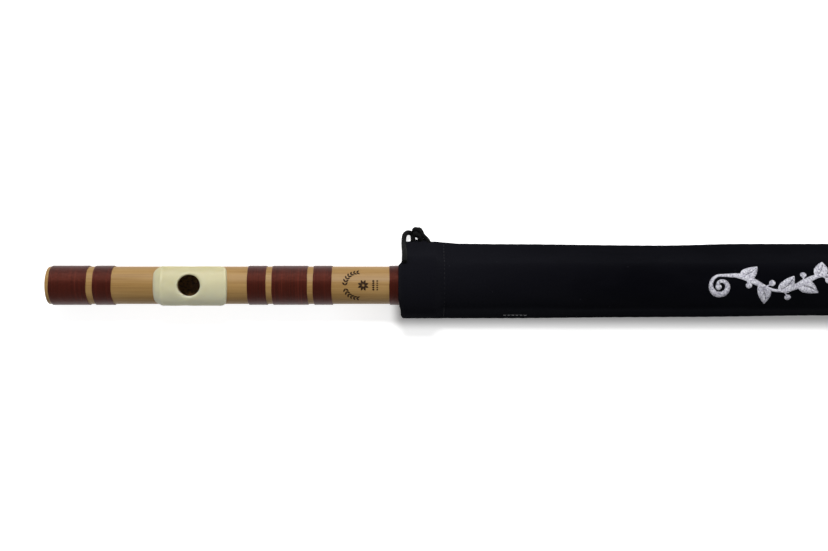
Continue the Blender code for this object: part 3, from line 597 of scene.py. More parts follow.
def fine_grained(name, dark, light, grain, roughness, sheen=0.2, shine=0.5):
    """Braid, thread, woven cotton or dried ink: matt, with a fine grain of a darker and a paler tone."""
    made, tree, shader, where = new_material(
        name,
        roughness=roughness,
        specular_ior_level=shine,
        sheen_weight=sheen,
        sheen_roughness=0.4,
    )
    # Yarns of 0.1 to 0.2 mm are too fine to show, so the grain is drawn 0.4 to 0.6 mm across
    yarn = add_node(tree, "TexNoise", inputs={"Vector": where, "Scale": 1 / grain, "Detail": 3.0})
    tone = add_node(tree, "ValToRGB", inputs={0: yarn}, stops=((0.32, dark), (0.68, light)))
    relief = add_node(tree, "Bump", inputs={"Strength": 0.5, "Distance": grain / 4, "Height": yarn})
    finish_material(tree, shader, tone.outputs[0], relief)
    return made


def silver_rayon():
    """Silver-grey rayon thread: bright where a stitch faces the light, with duller and darker stitches."""
    made, tree, shader, where = new_material("silver_rayon_thread", roughness=0.5, specular_ior_level=0.3)
    mottle = add_node(tree, "TexNoise", inputs={"Vector": where, "Scale": 1 / (0.9 * MM), "Detail": 2.0})
    stops = ((0.32, "#7E7C8C"), (0.50, "#BDBCC6"), (0.68, "#DEDEE3"))
    tone = add_node(tree, "ValToRGB", inputs={0: mottle}, stops=stops)
    # Its filaments too are drawn in bundles of 0.2 mm
    strands = add_node(tree, "TexNoise", inputs={"Vector": where, "Scale": 1 / (0.2 * MM), "Detail": 2.0})
    relief = add_node(tree, "Bump", inputs={"Strength": 0.4, "Distance": 0.03 * MM, "Height": strands})
    finish_material(tree, shader, tone.outputs[0], relief)
    return made


def natural_cork():
    """Bottle cork: warm brown grains with dark pores."""
    made, tree, shader, where = new_material("natural_cork", roughness=0.88)
    grains = add_node(tree, "TexVoronoi", inputs={"Vector": where, "Scale": 1 / (1.1 * MM)})
    stops = ((0.02, "#5B3A20"), (0.18, "#A97F54"), (0.75, "#C39A6B"))
    tone = add_node(tree, "ValToRGB", inputs={0: grains}, stops=stops)
    relief = add_node(tree, "Bump", inputs={"Strength": 0.6, "Distance": 0.15 * MM, "Height": grains})
    finish_material(tree, shader, tone.outputs[0], relief)
    return made


# Modelling


def deselect_all():
    bpy.ops.object.select_all(action="DESELECT")


def take_primitive(name):
    """Names the primitive just added and puts its place into its mesh."""
    piece = bpy.context.object
    piece.name = name
    bpy.ops.object.transform_apply(location=True, rotation=True, scale=True)
    return piece


def lay_cylinder(name, sides, radius, low_x, high_x):
    """A cylinder lying on the flute's axis."""
    deselect_all()
    bpy.ops.mesh.primitive_cylinder_add(
        vertices=sides,
        radius=radius,
        depth=high_x - low_x,
        location=((low_x + high_x) / 2, AXIS_Y, AXIS_Z),
        rotation=(0.0, math.pi / 2, 0.0),
    )
    return take_primitive(name)


def activate(piece):
    """Makes a piece the only one that the next operator works on."""
    deselect_all()
    piece.select_set(True)
    bpy.context.view_layer.objects.active = piece


def start_edit(piece):
    activate(piece)
    bpy.ops.object.mode_set(mode="EDIT")


def end_edit():
    bpy.ops.object.mode_set(mode="OBJECT")


def pick(piece, kind, wanted):
    """In edit mode, selects the verts, edges or faces that wanted says."""
    bpy.ops.mesh.select_mode(type={"verts": "VERT", "edges": "EDGE", "faces": "FACE"}[kind])
    bpy.ops.mesh.select_all(action="DESELECT")
    bm = bmesh.from_edit_mesh(piece.data)
    for part in getattr(bm, kind):
        if wanted(part):
            part.select_set(True)
    bmesh.update_edit_mesh(piece.data)


def divide_long_edges(piece, axis, longer_than, cuts):
    """In edit mode, divides the edges that run along an axis."""
    pick(piece, "edges", lambda edge: abs(edge.verts[0].co[axis] - edge.verts[1].co[axis]) > longer_than)
    bpy.ops.mesh.subdivide(number_cuts=cuts)


def apply_modifier(piece, kind, **settings):
    """Adds a modifier with its settings, and applies it."""
    activate(piece)
    made = piece.modifiers.new(kind.lower(), kind)
    for name, value in settings.items():
        setattr(made, name, value)
    bpy.ops.object.modifier_apply(modifier=made.name)


def finish_piece(piece, body, material, replaced=(), smooth=math.radians(35)):
    """Gives a piece its finish, its shading (None: smooth all over), and its place on a body."""
    if not piece.data.materials:
        piece.data.materials.append(material)
    if smooth is None:
        piece.data.shade_smooth()
    else:
        activate(piece)
        bpy.ops.object.shade_smooth_by_angle(angle=smooth)
    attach(piece, body)
    if replaced:
        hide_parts(*replaced)


def mesh_piece(name, points, faces):
    """A piece from its points and faces, for shapes that no operator can follow."""
    mesh = bpy.data.meshes.new(name)
    mesh.from_pydata([tuple(point) for point in points], [], faces)
    mesh.update()
    piece = bpy.data.objects.new(name, mesh)
    bpy.context.collection.objects.link(piece)
    return piece


def skin_rings(rings, closed=False):
    """Points and faces of a skin over rings of equally many points, closed in a loop or capped."""
    count = len(rings[0])
    points = [point for ring in rings for point in ring]
    faces = []
    rows = len(rings) if closed else len(rings) - 1
    for row in range(rows):
        here = row * count
        there = (row + 1) % len(rings) * count
        for i in range(count):
            j = (i + 1) % count
            faces.append((here + i, here + j, there + j, there + i))
    if not closed:
        faces.append(tuple(reversed(range(count))))
        faces.append(tuple(range((len(rings) - 1) * count, len(rings) * count)))
    return points, faces


def face_outwards(piece):
    """Turns the faces of a closed piece outwards."""
    start_edit(piece)
    bpy.ops.mesh.select_all(action="SELECT")
    bpy.ops.mesh.normals_make_consistent(inside=False)
    end_edit()
    return piece


# The drawstring


def swept_frames(path):
    """For each point of a path, two directions square to it that turn as little as they can."""
    frames = []
    # Any direction will do that no path starts along
    up = Vector((0.31, 0.17, 0.93))
    for k in range(len(path)):
        ahead = (path[min(k + 1, len(path) - 1)] - path[max(k - 1, 0)]).normalized()
        side = ahead.cross(up).normalized()
        up = side.cross(ahead).normalized()
        frames.append((side, up))
    return frames


def braided_cord(name, path, radius):
    """A tube along a path, its skin raised where the strands of a round braid cross over. It is skinned
    from rings, because a bevelled curve can't carry the plaits."""
    rings = []
    run = 0.0
    for k, (point, (side, up)) in enumerate(zip(path, swept_frames(path))):
        if k:
            run += (point - path[k - 1]).length
        ring = []
        for i in range(CORD_SIDES):
            turn = math.tau * i / CORD_SIDES
            left = math.sin(CORD_PLAITS * turn + math.tau * run / CORD_LAY)
            right = math.sin(CORD_PLAITS * turn - math.tau * run / CORD_LAY)
            grown = radius * (1 + CORD_PLAIT_RISE * left * right)
            ring.append(point + side * math.cos(turn) * grown + up * math.sin(turn) * grown)
        rings.append(ring)
    for ring, centre in ((rings[0], path[0]), (rings[-1], path[-1])):
        for i, point in enumerate(ring):
            ring[i] = centre + (point - centre) * CORD_CUT_END
    return face_outwards(mesh_piece(name, *skin_rings(rings)))


def make_drawstring(cord):
    """The loose tail beside the casing, and the other end's overhand knot, which follows a trefoil."""
    tail_path = [place(*point) for point in smooth_route(TAIL_ROUTE, TAIL_STEPS)]
    tail = braided_cord("drawstring_cord_tail", tail_path, CORD_DIAMETER / 2 * TAIL_FULLNESS)
    finish_piece(tail, "cover", cord, ("drawstring_tail",), None)

    centre = Vector(KNOT_CENTRE)
    loops = []
    for k in range(KNOT_POINTS + 1):
        t = math.radians(KNOT_START_DEGREES - KNOT_RUN_DEGREES * k / KNOT_POINTS)
        swing = Vector((
            math.sin(t) + 2 * math.sin(2 * t),
            2 * math.cos(2 * t) - math.cos(t),
            0.0,
        )) * (KNOT_RADIUS / 3)
        swing.rotate(Quaternion((0.0, 0.0, 1.0), KNOT_TURN))
        loops.append(centre + swing + Vector((0.0, 0.0, -math.sin(3 * t) * KNOT_HEIGHT)))
    route = list(LEG_ROUTE) + [tuple(point) for point in loops] + list(CUT_END_ROUTE)
    knot_path = [place(*point) for point in smooth_route(route, KNOT_STEPS)]
    knot = braided_cord("drawstring_cord_knot", knot_path, CORD_DIAMETER / 2 * KNOT_FULLNESS)
    finish_piece(knot, "cover", cord, ("drawstring_knot",), None)


# The flute


def cut_hole(piece, name, centre, length, width):
    """Drills one upright hole through the top wall, its rim flared along the curve of the tube."""
    deselect_all()
    top = AXIS_Z + TUBE_RADIUS
    bpy.ops.mesh.primitive_cylinder_add(
        vertices=HOLE_SIDES,
        radius=0.5,
        depth=1.0,
        location=(centre, AXIS_Y, (AXIS_Z + DRILL_START + top - HOLE_FLARE) / 2),
        scale=(length, width, top - HOLE_FLARE - AXIS_Z - DRILL_START),
    )
    drill = take_primitive(name)
    start_edit(drill)
    pick(drill, "faces", lambda face: face.normal.z > 0.9)
    for rise, grow in FLARE_STEPS:
        bpy.ops.mesh.extrude_region_move(TRANSFORM_OT_translate={"value": (0.0, 0.0, rise * MM)})
        wide = (length + 2 * grow * MM) / length
        bpy.ops.transform.resize(value=(wide, wide, 1.0), center_override=(centre, AXIS_Y, AXIS_Z))
        length += 2 * grow * MM
    end_edit()
    for vert in drill.data.vertices:
        if vert.co.z > AXIS_Z + BORE_RADIUS:
            side = min(abs(vert.co.y - AXIS_Y), TUBE_RADIUS)
            vert.co.z -= TUBE_RADIUS - math.sqrt(TUBE_RADIUS ** 2 - side ** 2)
    apply_modifier(piece, "BOOLEAN", operation="DIFFERENCE", object=drill, solver="EXACT")
    bpy.data.objects.remove(drill, do_unlink=True)


def make_bamboo(bamboo, scorched):
    """The tube, bored right through, its ends rounded and its skin a little uneven, with its eight holes."""
    tube = lay_cylinder("bamboo_body", TUBE_SIDES, TUBE_RADIUS, HEAD_X, FOOT_X)
    start_edit(tube)
    pick(tube, "faces", lambda face: len(face.verts) > 4)
    bpy.ops.mesh.inset(thickness=TUBE_RADIUS - BORE_RADIUS)
    bpy.ops.mesh.delete(type="ONLY_FACE")
    pick(tube, "edges", lambda edge: edge.is_boundary)
    bpy.ops.mesh.bridge_edge_loops()
    pick(tube, "edges", lambda edge: abs(edge.calc_face_angle(0.0)) > 1.0)
    bpy.ops.mesh.bevel(offset=RIM_ROUND, segments=3, affect="EDGES")
    divide_long_edges(tube, 0, 100 * MM, TUBE_SECTIONS)
    end_edit()
    for vert in tube.data.vertices:
        away = from_axis(vert.co)
        across = away / TUBE_WAVE_WIDTH
        wave = noise.noise(Vector((vert.co.x / TUBE_WAVE_LENGTH, across.y, across.z)))
        vert.co += away.normalized() * wave * TUBE_WANDER

    cut_hole(tube, "blow_hole_drill", HEAD_X + BLOW_HOLE[0], BLOW_HOLE[1], BLOW_HOLE[2])
    for number, (along, across) in enumerate(FINGER_HOLES):
        cut_hole(tube, f"hole_drill_{number}", HEAD_X + along, across, across)
    tube.data.materials.append(bamboo)
    tube.data.materials.append(scorched)
    # The bore and the walls of the holes are burnt, and the cut ends aren't
    for face in tube.data.polygons:
        away = from_axis(face.center)
        out = away.length
        in_bore = face.normal.dot(away) < 0 and out < BORE_RADIUS + 0.1 * MM
        clear_of_ends = HEAD_X + UNBURNT_END < face.center.x < FOOT_X - UNBURNT_END
        in_wall = abs(face.normal.z) < 0.8 and BORE_RADIUS < out < TUBE_RADIUS - 0.2 * MM
        face.material_index = int(in_bore or (in_wall and clear_of_ends))
    finish_piece(tube, "flute", bamboo, ("bamboo_tube",))


def make_cork(cork):
    """The stopper, its edges rounded and its side pitted."""
    radius = (CORK_HIGH.z - CORK_LOW.z) / 2
    stopper = lay_cylinder("cork_plug", CORK_SIDES, radius, CORK_LOW.x, CORK_HIGH.x)
    start_edit(stopper)
    pick(stopper, "edges", lambda edge: edge.calc_face_angle(0.0) > 1.0)
    bpy.ops.mesh.bevel(offset=CORK_ROUND, segments=4, affect="EDGES")
    divide_long_edges(stopper, 0, 5 * MM, CORK_SECTIONS)
    end_edit()
    for vert in stopper.data.vertices:
        pit = max(noise.noise(vert.co / CORK_PIT_SIZE), 0.0)
        vert.co -= from_axis(vert.co).normalized() * pit * CORK_PIT_DEPTH
    finish_piece(stopper, "stopper", cork, ("cork_stopper",))


def make_binding(node, number, thread):
    """One thread wound in a helix from end to end of the band, its two ends capped."""
    low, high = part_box(node)
    deselect_all()
    bpy.ops.mesh.primitive_circle_add(
        vertices=THREAD_SIDES,
        radius=THREAD_RADIUS,
        rotation=(math.pi / 2, 0.0, 0.0),
    )
    winding = take_primitive(node.replace("binding", "winding"))
    start = low.x + THREAD_RADIUS - WINDING_OVERRUN
    run = high.x - THREAD_RADIUS + WINDING_OVERRUN - start
    turns = round(run / THREAD_PITCH)
    pitch = run / turns
    start_edit(winding)
    bpy.ops.mesh.select_all(action="SELECT")
    seat = TUBE_RADIUS + THREAD_RADIUS
    bpy.ops.transform.translate(value=(start, 0.0, -seat))
    end_edit()
    apply_modifier(
        winding,
        "SCREW",
        axis="X",
        angle=math.tau,
        screw_offset=pitch,
        iterations=turns,
        steps=THREAD_STEPS,
        render_steps=THREAD_STEPS,
        use_merge_vertices=False,
    )
    start_edit(winding)
    pick(winding, "edges", lambda edge: edge.is_boundary)
    bpy.ops.mesh.edge_face_add()
    bpy.ops.mesh.select_all(action="SELECT")
    bpy.ops.transform.translate(value=(0.0, AXIS_Y, AXIS_Z))
    bpy.ops.mesh.normals_make_consistent(inside=False)
    end_edit()
    # The number gives each band its own unevenness
    for vert in winding.data.vertices:
        away = from_axis(vert.co)
        turn = math.atan2(away.y, away.z)
        lift = noise.noise(Vector((vert.co.x / THREAD_WANDER_RUN, turn, number * 7.3)))
        vert.co += away.normalized() * lift * THREAD_WANDER
        vert.co.x += noise.noise(Vector((turn * 1.7, number * 5.1, 0.0))) * THREAD_DRIFT
    finish_piece(winding, "flute", thread, (node,), None)


def plate_edge_distance(x, turn, middle):
    """How far inside the lip plate's rounded outline a point lies, on the unrolled plate."""
    half_x = PLATE_LENGTH / 2
    half_a = (PLATE_NEAR_ANGLE + PLATE_FAR_ANGLE) / 2 * middle
    lean = (PLATE_FAR_ANGLE - PLATE_NEAR_ANGLE) / 2 * middle
    corner = PLATE_HEAD_CORNER if x < PLATE_START + half_x else PLATE_FOOT_CORNER
    bow = 0.0 if x < PLATE_START + half_x else PLATE_FOOT_BOW * turn * turn
    dx = abs(x - PLATE_START - half_x) - (half_x - corner) + bow
    da = abs(turn * middle - lean) - (half_a - corner)
    return corner - math.hypot(max(dx, 0.0), max(da, 0.0)) - min(max(dx, da), 0.0)


def plate_height(x, turn, middle, from_hole):
    """The lip plate's thickness: rounded at its edges, thinned at the head end, raised at the hole."""
    depth = plate_edge_distance(x, turn, middle)
    edge = max(0.0, 1 - max(depth, 0.0) / PLATE_EDGE)
    round_off = math.sqrt(max(1 - edge ** 2, 0.0)) if depth > 0 else 0.0
    into = x - PLATE_START
    ramp = PLATE_RAMP_DROP * max(0.0, 1 - into / PLATE_RAMP)
    ridge = PLATE_RIDGE * math.exp(-((into - PLATE_RAMP) / PLATE_RIDGE_SPREAD) ** 2)
    lip = HOLE_RISE * math.exp(-((from_hole - HOLE_RISE_AT) / HOLE_RISE_SPREAD) ** 2)
    dent = noise.noise(Vector((into / PLATE_DENT_LENGTH, turn * 2.4, 6.0))) * PLATE_DENTS
    return (PLATE_THICKNESS - ramp + ridge + lip + dent) * round_off


def make_lip_plate(resin):
    """Spokes from the blow hole to the plate's outline, each a closed profile, skinned round: a bevel
    can't follow the oval rim on a face that is curved the other way."""
    middle = TUBE_RADIUS + PLATE_THICKNESS / 2
    underside = TUBE_RADIUS + PLATE_GLUE
    hole_x, hole_length, hole_width = BLOW_HOLE
    spokes = []
    for k in range(PLATE_SPOKES):
        ray = math.tau * k / PLATE_SPOKES
        hole_side = hole_width / 2 * math.sin(ray)
        start_x = hole_x + hole_length / 2 * math.cos(ray)
        start_turn = math.asin(hole_side / (TUBE_RADIUS + PLATE_THICKNESS))
        # The outline is found by halving
        reach_low = 0.0
        reach_high = 60 * MM
        for _ in range(40):
            reach = (reach_low + reach_high) / 2
            x = start_x + reach * math.cos(ray)
            turn = start_turn + reach * math.sin(ray) / middle
            if plate_edge_distance(x, turn, middle) > 0:
                reach_low = reach
            else:
                reach_high = reach
        spoke = []
        for height in WALL_HEIGHTS:
            out = underside + height * MM
            spoke.append((start_x, hole_side, math.sqrt(out ** 2 - hole_side ** 2)))
        inner = NEAR_STEPS[-1] * MM
        outer = reach_high - FAR_STEPS[0] * MM
        steps = [s * MM for s in NEAR_STEPS]
        steps += [inner + (outer - inner) * (s / MIDDLE_STEPS) for s in range(1, MIDDLE_STEPS)]
        steps += [reach_high - s * MM for s in FAR_STEPS]
        for step in steps:
            x = start_x + step * math.cos(ray)
            turn = start_turn + step * math.sin(ray) / middle
            rim = max(0.0, 1 - step / HOLE_LIP)
            round_in = HOLE_LIP * (1 - math.sqrt(max(1 - rim ** 2, 0.0)))
            out = underside + max(plate_height(x, turn, middle, step) - round_in, 0.0)
            spoke.append((x, out * math.sin(turn), out * math.cos(turn)))
        end_x = start_x + reach_high * math.cos(ray)
        end_turn = start_turn + reach_high * math.sin(ray) / middle
        for share in (0.75, 0.5, 0.25):
            x = start_x + (end_x - start_x) * share
            turn = start_turn + (end_turn - start_turn) * share
            spoke.append((x, underside * math.sin(turn), underside * math.cos(turn)))
        spokes.append([Vector((HEAD_X + x, AXIS_Y + y, AXIS_Z + z)) for x, y, z in spoke])
    plate = face_outwards(mesh_piece("lip_plate_tile", *skin_rings(spokes, closed=True)))
    finish_piece(plate, "flute", resin, ("lip_plate",), math.radians(50))


# The velvet cover


def closing_share(d):
    """Full height is 1; the front comes down along a quarter round at the closed end."""
    into = (d - (COVER_LENGTH - CLOSING_LENGTH)) / CLOSING_LENGTH
    return 1.0 if into <= 0 else math.sqrt(max(1 - into * into, 0.0))


def corner_loss(d):
    """How much narrower the cover is on either side at its rounded end."""
    into = d - (COVER_LENGTH - END_CORNER)
    return 0.0 if into <= 0 else END_CORNER - math.sqrt(max(END_CORNER ** 2 - into ** 2, 0.0))


def slope_angle(reach, base, radius):
    """The angle at which a straight slope from the cover's edge meets the arch over the flute."""
    return math.acos(radius / math.hypot(reach, base)) - math.atan2(-base, reach)


def section(radius, near_reach, far_reach, base, corner):
    """One closed outline round the cover, from the axis: (side, height, outward side, outward height)."""
    near = slope_angle(near_reach, base + corner, radius)
    far = slope_angle(far_reach, base + corner, radius)
    parts = []

    def arc(centre, size, start, stop, count):
        """A stretch of the outline round a centre."""
        for k in range(count):
            turn = start + (stop - start) * k / count
            outward = (math.cos(turn), math.sin(turn))
            parts.append((centre[0] + size * outward[0], centre[1] + size * outward[1], *outward))

    def straight(start, stop, outward, count, sag):
        """A stretch from a point to a point, sunk in between."""
        for k in range(count):
            share = k / count
            drop = sag * math.sin(math.pi * share)
            parts.append((
                start[0] + (stop[0] - start[0]) * share - outward[0] * drop,
                start[1] + (stop[1] - start[1]) * share - outward[1] * drop,
                *outward,
            ))

    level = base + corner
    far_side = (radius - corner - level * math.sin(far)) / math.cos(far)
    near_side = (radius - corner - level * math.sin(near)) / math.cos(near)
    far_out = (math.cos(far), math.sin(far))
    near_out = (-math.cos(near), math.sin(near))
    far_top = (radius * far_out[0], radius * far_out[1])
    near_top = (radius * near_out[0], radius * near_out[1])
    far_low = (far_side + corner * far_out[0], level + corner * far_out[1])
    near_low = (-near_side + corner * near_out[0], level + corner * near_out[1])
    arc((0.0, 0.0), radius, far, math.pi - near, ARCH_POINTS)
    straight(near_top, near_low, near_out, NEAR_SLOPE_POINTS, NEAR_SAG)
    arc((-near_side, level), corner, math.pi - near, 1.5 * math.pi, CORNER_POINTS)
    straight((-near_side, base), (far_side, base), (0.0, -1.0), BACK_POINTS, 0.0)
    arc((far_side, level), corner, -0.5 * math.pi, far, CORNER_POINTS)
    straight(far_low, far_top, far_out, FAR_SLOPE_POINTS, FAR_SAG)
    return parts


def casing_puff(d):
    """How far the mouth's casing stands out round the drawstring that runs inside it."""
    start = math.sqrt(min(max(d, 0.0) / PUFF_RISES_OVER, 1.0))
    stop = smooth_share((CASING_DEPTH + PUFF_ENDS_PAST - d) / PUFF_FALLS_OVER)
    return CASING_PUFF * start * stop


def creases(d, y, z):
    """How far the cloth lifts: soft swells, small folds and slanting ones, outwards only, so that the
    cloth stays clear of the flute."""
    swell = noise.noise(Vector((d / SWELL_LENGTH, y / SWELL_WIDTH, z / SWELL_WIDTH))) + 0.5
    fine = noise.noise(Vector((d / FINE_LENGTH, y / FINE_WIDTH + 4.0, z / FINE_WIDTH)))
    diagonal = noise.noise(Vector(((d + 1.4 * y) / DIAGONAL_LENGTH, (d - y) / DIAGONAL_WIDTH, 8.0)))
    swell = max(swell, 0.0)
    diagonal = max(diagonal, 0.0)
    loose = smooth_share((d - LOOSE_FROM) / LOOSE_OVER)
    lift = SWELL_LIFT * swell + FINE_LIFT * max(fine, 0.0) + DIAGONAL_LIFT * diagonal ** 2
    lift += loose * (LOOSE_SWELL_LIFT * swell + LOOSE_DIAGONAL_LIFT * diagonal)
    return lift * MM


def mouth_recess(y):
    """How far the mouth's edge lies back from its middle at a place to the far or the near side."""
    steps = FAR_RECESS if y > 0 else NEAR_RECESS
    return sum(depth * smooth_share((abs(y) / MM - start) / width) for depth, start, width in steps) * MM


def cover_ring(d, inside=False):
    """The cloth's outer or inner surface at a distance from the mouth, as points in the frame."""
    near_reach = between_marks(d, NEAR_REACH) - corner_loss(d)
    far_reach = between_marks(d, FAR_REACH) - corner_loss(d)
    share = closing_share(d)
    depth = CLOTH if inside else 0.0
    radius = COVER_BORE if inside else COVER_OUTER + casing_puff(d)
    base = -AXIS_Z + depth
    corner = INNER_CORNER if inside else OUTER_CORNER
    ring = []
    for y, z, out_y, out_z in section(radius, near_reach - depth, far_reach - depth, base, corner):
        if inside:
            height = INNER_FLOOR + (z + AXIS_Z - INNER_FLOOR) * share
        else:
            high = smooth_share((z + AXIS_Z) / FOLDS_FREE_HEIGHT)
            lift = creases(d, y, z) * high
            y += out_y * lift
            z += out_z * lift
            edge = math.exp(-((z + AXIS_Z) / PUCKER_HEIGHT) ** 2)
            drift = 4 * noise.noise(Vector((d / PUCKER_DRIFT_LENGTH, y * 90, 0.0)))
            wave = math.sin(math.tau * d / PUCKER_LENGTH + drift)
            pucker = PUCKER * edge * wave if out_z > -0.9 else 0.0
            groove = math.exp(-((d - STITCH_AT) / STITCH_GROOVE_WIDTH) ** 2) * high
            y += out_y * (pucker - STITCH_GROOVE * groove)
            z -= out_z * STITCH_GROOVE * groove
            height = (z + AXIS_Z) * share + (1 - share) * (CLOTH * 2 if out_z > 0 else 0.0)
        fade = math.exp(-max(d, 0.0) / RECESS_FADE)
        ring.append(place(d + mouth_recess(y) * fade, y, max(height, 0.0)))
    return ring


def mouth_fold():
    """The rings round the mouth's folded edge, from the outer cloth into the hem."""
    outer = cover_ring(0.0)
    inner = cover_ring(0.0, inside=True)
    rings = []
    for k in range(1, FOLD_STEPS):
        turn = math.pi * k / FOLD_STEPS
        share = (1 - math.cos(turn)) / 2
        bulge = MOUTH_BULGE * math.sin(turn)
        rings.append([a.lerp(b, share) - Vector((bulge, 0.0, 0.0)) for a, b in zip(outer, inner)])
    return [outer] + rings + [inner]


def make_cover(velvet):
    """One cloth: the outside from the closed end to the mouth, round its fold and back down the inside.
    It is skinned from rings, because its outline changes all the way along."""
    # Places of the rings in millimetres from the mouth, closest at the fold and at the rounded end
    mouth = [0.25, 0.6, 1.0, 1.5, 2.1, 2.8]
    casing = [3.6 + 0.9 * k for k in range(29)]
    body = [30.5 + 1.8 * k for k in range(239)]
    end = [461.0 + 29.0 * math.sin(math.pi / 2 * k / 20) for k in range(21)]
    outer = [cover_ring(d * MM) for d in mouth + casing + body + end]
    inner_marks = [2.0, 6.0] + [14.0 + 12.0 * k for k in range(38)] + [466.0, 474.0, 481.0, 485.0, 487.0]
    inner = [cover_ring(d * MM, inside=True) for d in inner_marks]
    rings = list(reversed(outer)) + mouth_fold() + inner
    cover = face_outwards(mesh_piece("velvet_cover", *skin_rings(rings)))
    replaced = (
        "cover_front_mouth",
        "cover_front_middle",
        "cover_front_end",
        "cover_back_panel",
        "casing_outer",
        "casing_hem",
    )
    finish_piece(cover, "cover", velvet, replaced, math.radians(60))


# Stitches


def stitch_blank():
    """One half-round stitch, modelled once: 1 long, 1 wide and 1 high, flat underneath."""
    deselect_all()
    bpy.ops.mesh.primitive_cylinder_add(vertices=8, radius=0.5, depth=1.0, rotation=(0.0, math.pi / 2, 0.0))
    blank = take_primitive("stitch_blank")
    start_edit(blank)
    bpy.ops.mesh.select_all(action="SELECT")
    bpy.ops.mesh.bisect(plane_co=(0, 0, 0), plane_no=(0, 0, 1), use_fill=True, clear_inner=True)
    for share in BLANK_CUTS:
        bpy.ops.mesh.select_all(action="SELECT")
        bpy.ops.mesh.bisect(plane_co=(share, 0, 0), plane_no=(1, 0, 0))
    end_edit()
    points = [(v.co.x + 0.5, v.co.y, v.co.z * 2) for v in blank.data.vertices]
    faces = [tuple(face.vertices) for face in blank.data.polygons]
    bpy.data.objects.remove(blank, do_unlink=True)
    return points, faces


def sew(name, stitches, blank):
    """One mesh of many stitches, each (start, end, surface normal, width, rise)."""
    blank_points, blank_faces = blank
    points = []
    faces = []
    for start, stop, normal, width, rise in stitches:
        across = normal.cross(stop - start).normalized()
        first = len(points)
        for along, side, up in blank_points:
            arch = math.sin(math.pi * min(max(along, 0.02), 0.98)) ** 0.5
            taper = STITCH_END + (1 - STITCH_END) * arch
            height = rise * arch - width * STITCH_SINK * (1 - up * arch)
            points.append(start.lerp(stop, along) + across * side * width * taper + normal * height)
        faces += [tuple(first + i for i in face) for face in blank_faces]
    return face_outwards(mesh_piece(name, points, faces))


def cover_surface(d, side):
    """A point of the front cloth over the flute, and its normal, at an arc's distance from the crest."""
    turn = side / COVER_OUTER
    out = Vector((0.0, math.sin(turn), math.cos(turn)))
    lift = creases(d, out.y * COVER_OUTER, out.z * COVER_OUTER)
    return place(d, 0.0, AXIS_Z) + out * (COVER_OUTER + lift), out


def satin_stitch(start, stop):
    """One stitch between two (distance, side) points on the cover's front."""
    start, normal_a = cover_surface(*start)
    stop, normal_b = cover_surface(*stop)
    rise = STITCH_RISE + STITCH_ARCH * (stop - start).length
    return start, stop, (normal_a + normal_b).normalized(), STITCH_WIDTH, rise


def satin_column(path, width_at):
    """Stitches side by side across a path of (distance, side) points."""
    stitches = []
    lengths = [0.0]
    for a, b in zip(path, path[1:]):
        lengths.append(lengths[-1] + (b - a).length)
    count = round(lengths[-1] / STITCH_SPACING)
    for k in range(count + 1):
        run = lengths[-1] * k / count
        spot = next((i for i in range(1, len(lengths)) if lengths[i] >= run), len(lengths) - 1)
        share = (run - lengths[spot - 1]) / (lengths[spot] - lengths[spot - 1])
        centre = path[spot - 1].lerp(path[spot], share)
        ahead = (path[spot] - path[spot - 1]).normalized()
        ragged = 1 + STITCH_RAGGED * noise.noise(Vector((*(centre / STITCH_RAGGED_SIZE), 3.0)))
        half = width_at(k / count) / 2 * ragged
        cross = square_to(ahead) * half + ahead * half * STITCH_SLANT
        stitches.append(satin_stitch(centre - cross, centre + cross))
    return stitches


def satin_leaf(root, heading, length, width, bow):
    """A leaf of two rows of stitches that slant from its middle vein out to its edges."""
    ahead = towards(heading)
    across = square_to(ahead)

    def vein(share):
        return root + ahead * length * share + across * bow * math.sin(math.pi * share)

    count = round(length / STITCH_SPACING)
    stitches = []
    for k in range(1, count + 1):
        share = k / count
        for side in (-1, 1):
            ragged = 1 + STITCH_RAGGED * noise.noise(Vector((root.x * 900 + k, side * 5.0, 0.5)))
            half = width / 2 * math.sin(math.pi * share ** 0.8) ** 0.9 * ragged
            start = vein(max(share - LEAF_SLANT * (0.3 + 2 * half / width), 0.0))
            edge = vein(share) + across * side * (half + LEAF_EDGE)
            stitches.append(satin_stitch(start + across * side * LEAF_VEIN, edge))
    return stitches


def satin_berry(centre, size):
    """A round dot of stitches."""
    rows = round(size / STITCH_SPACING)
    stitches = []
    for k in range(rows):
        along = ((k + 0.5) / rows - 0.5) * size
        half = math.sqrt(size ** 2 / 4 - along ** 2)
        stitches.append(satin_stitch(centre + Vector((along, -half)), centre + Vector((along, half))))
    return stitches


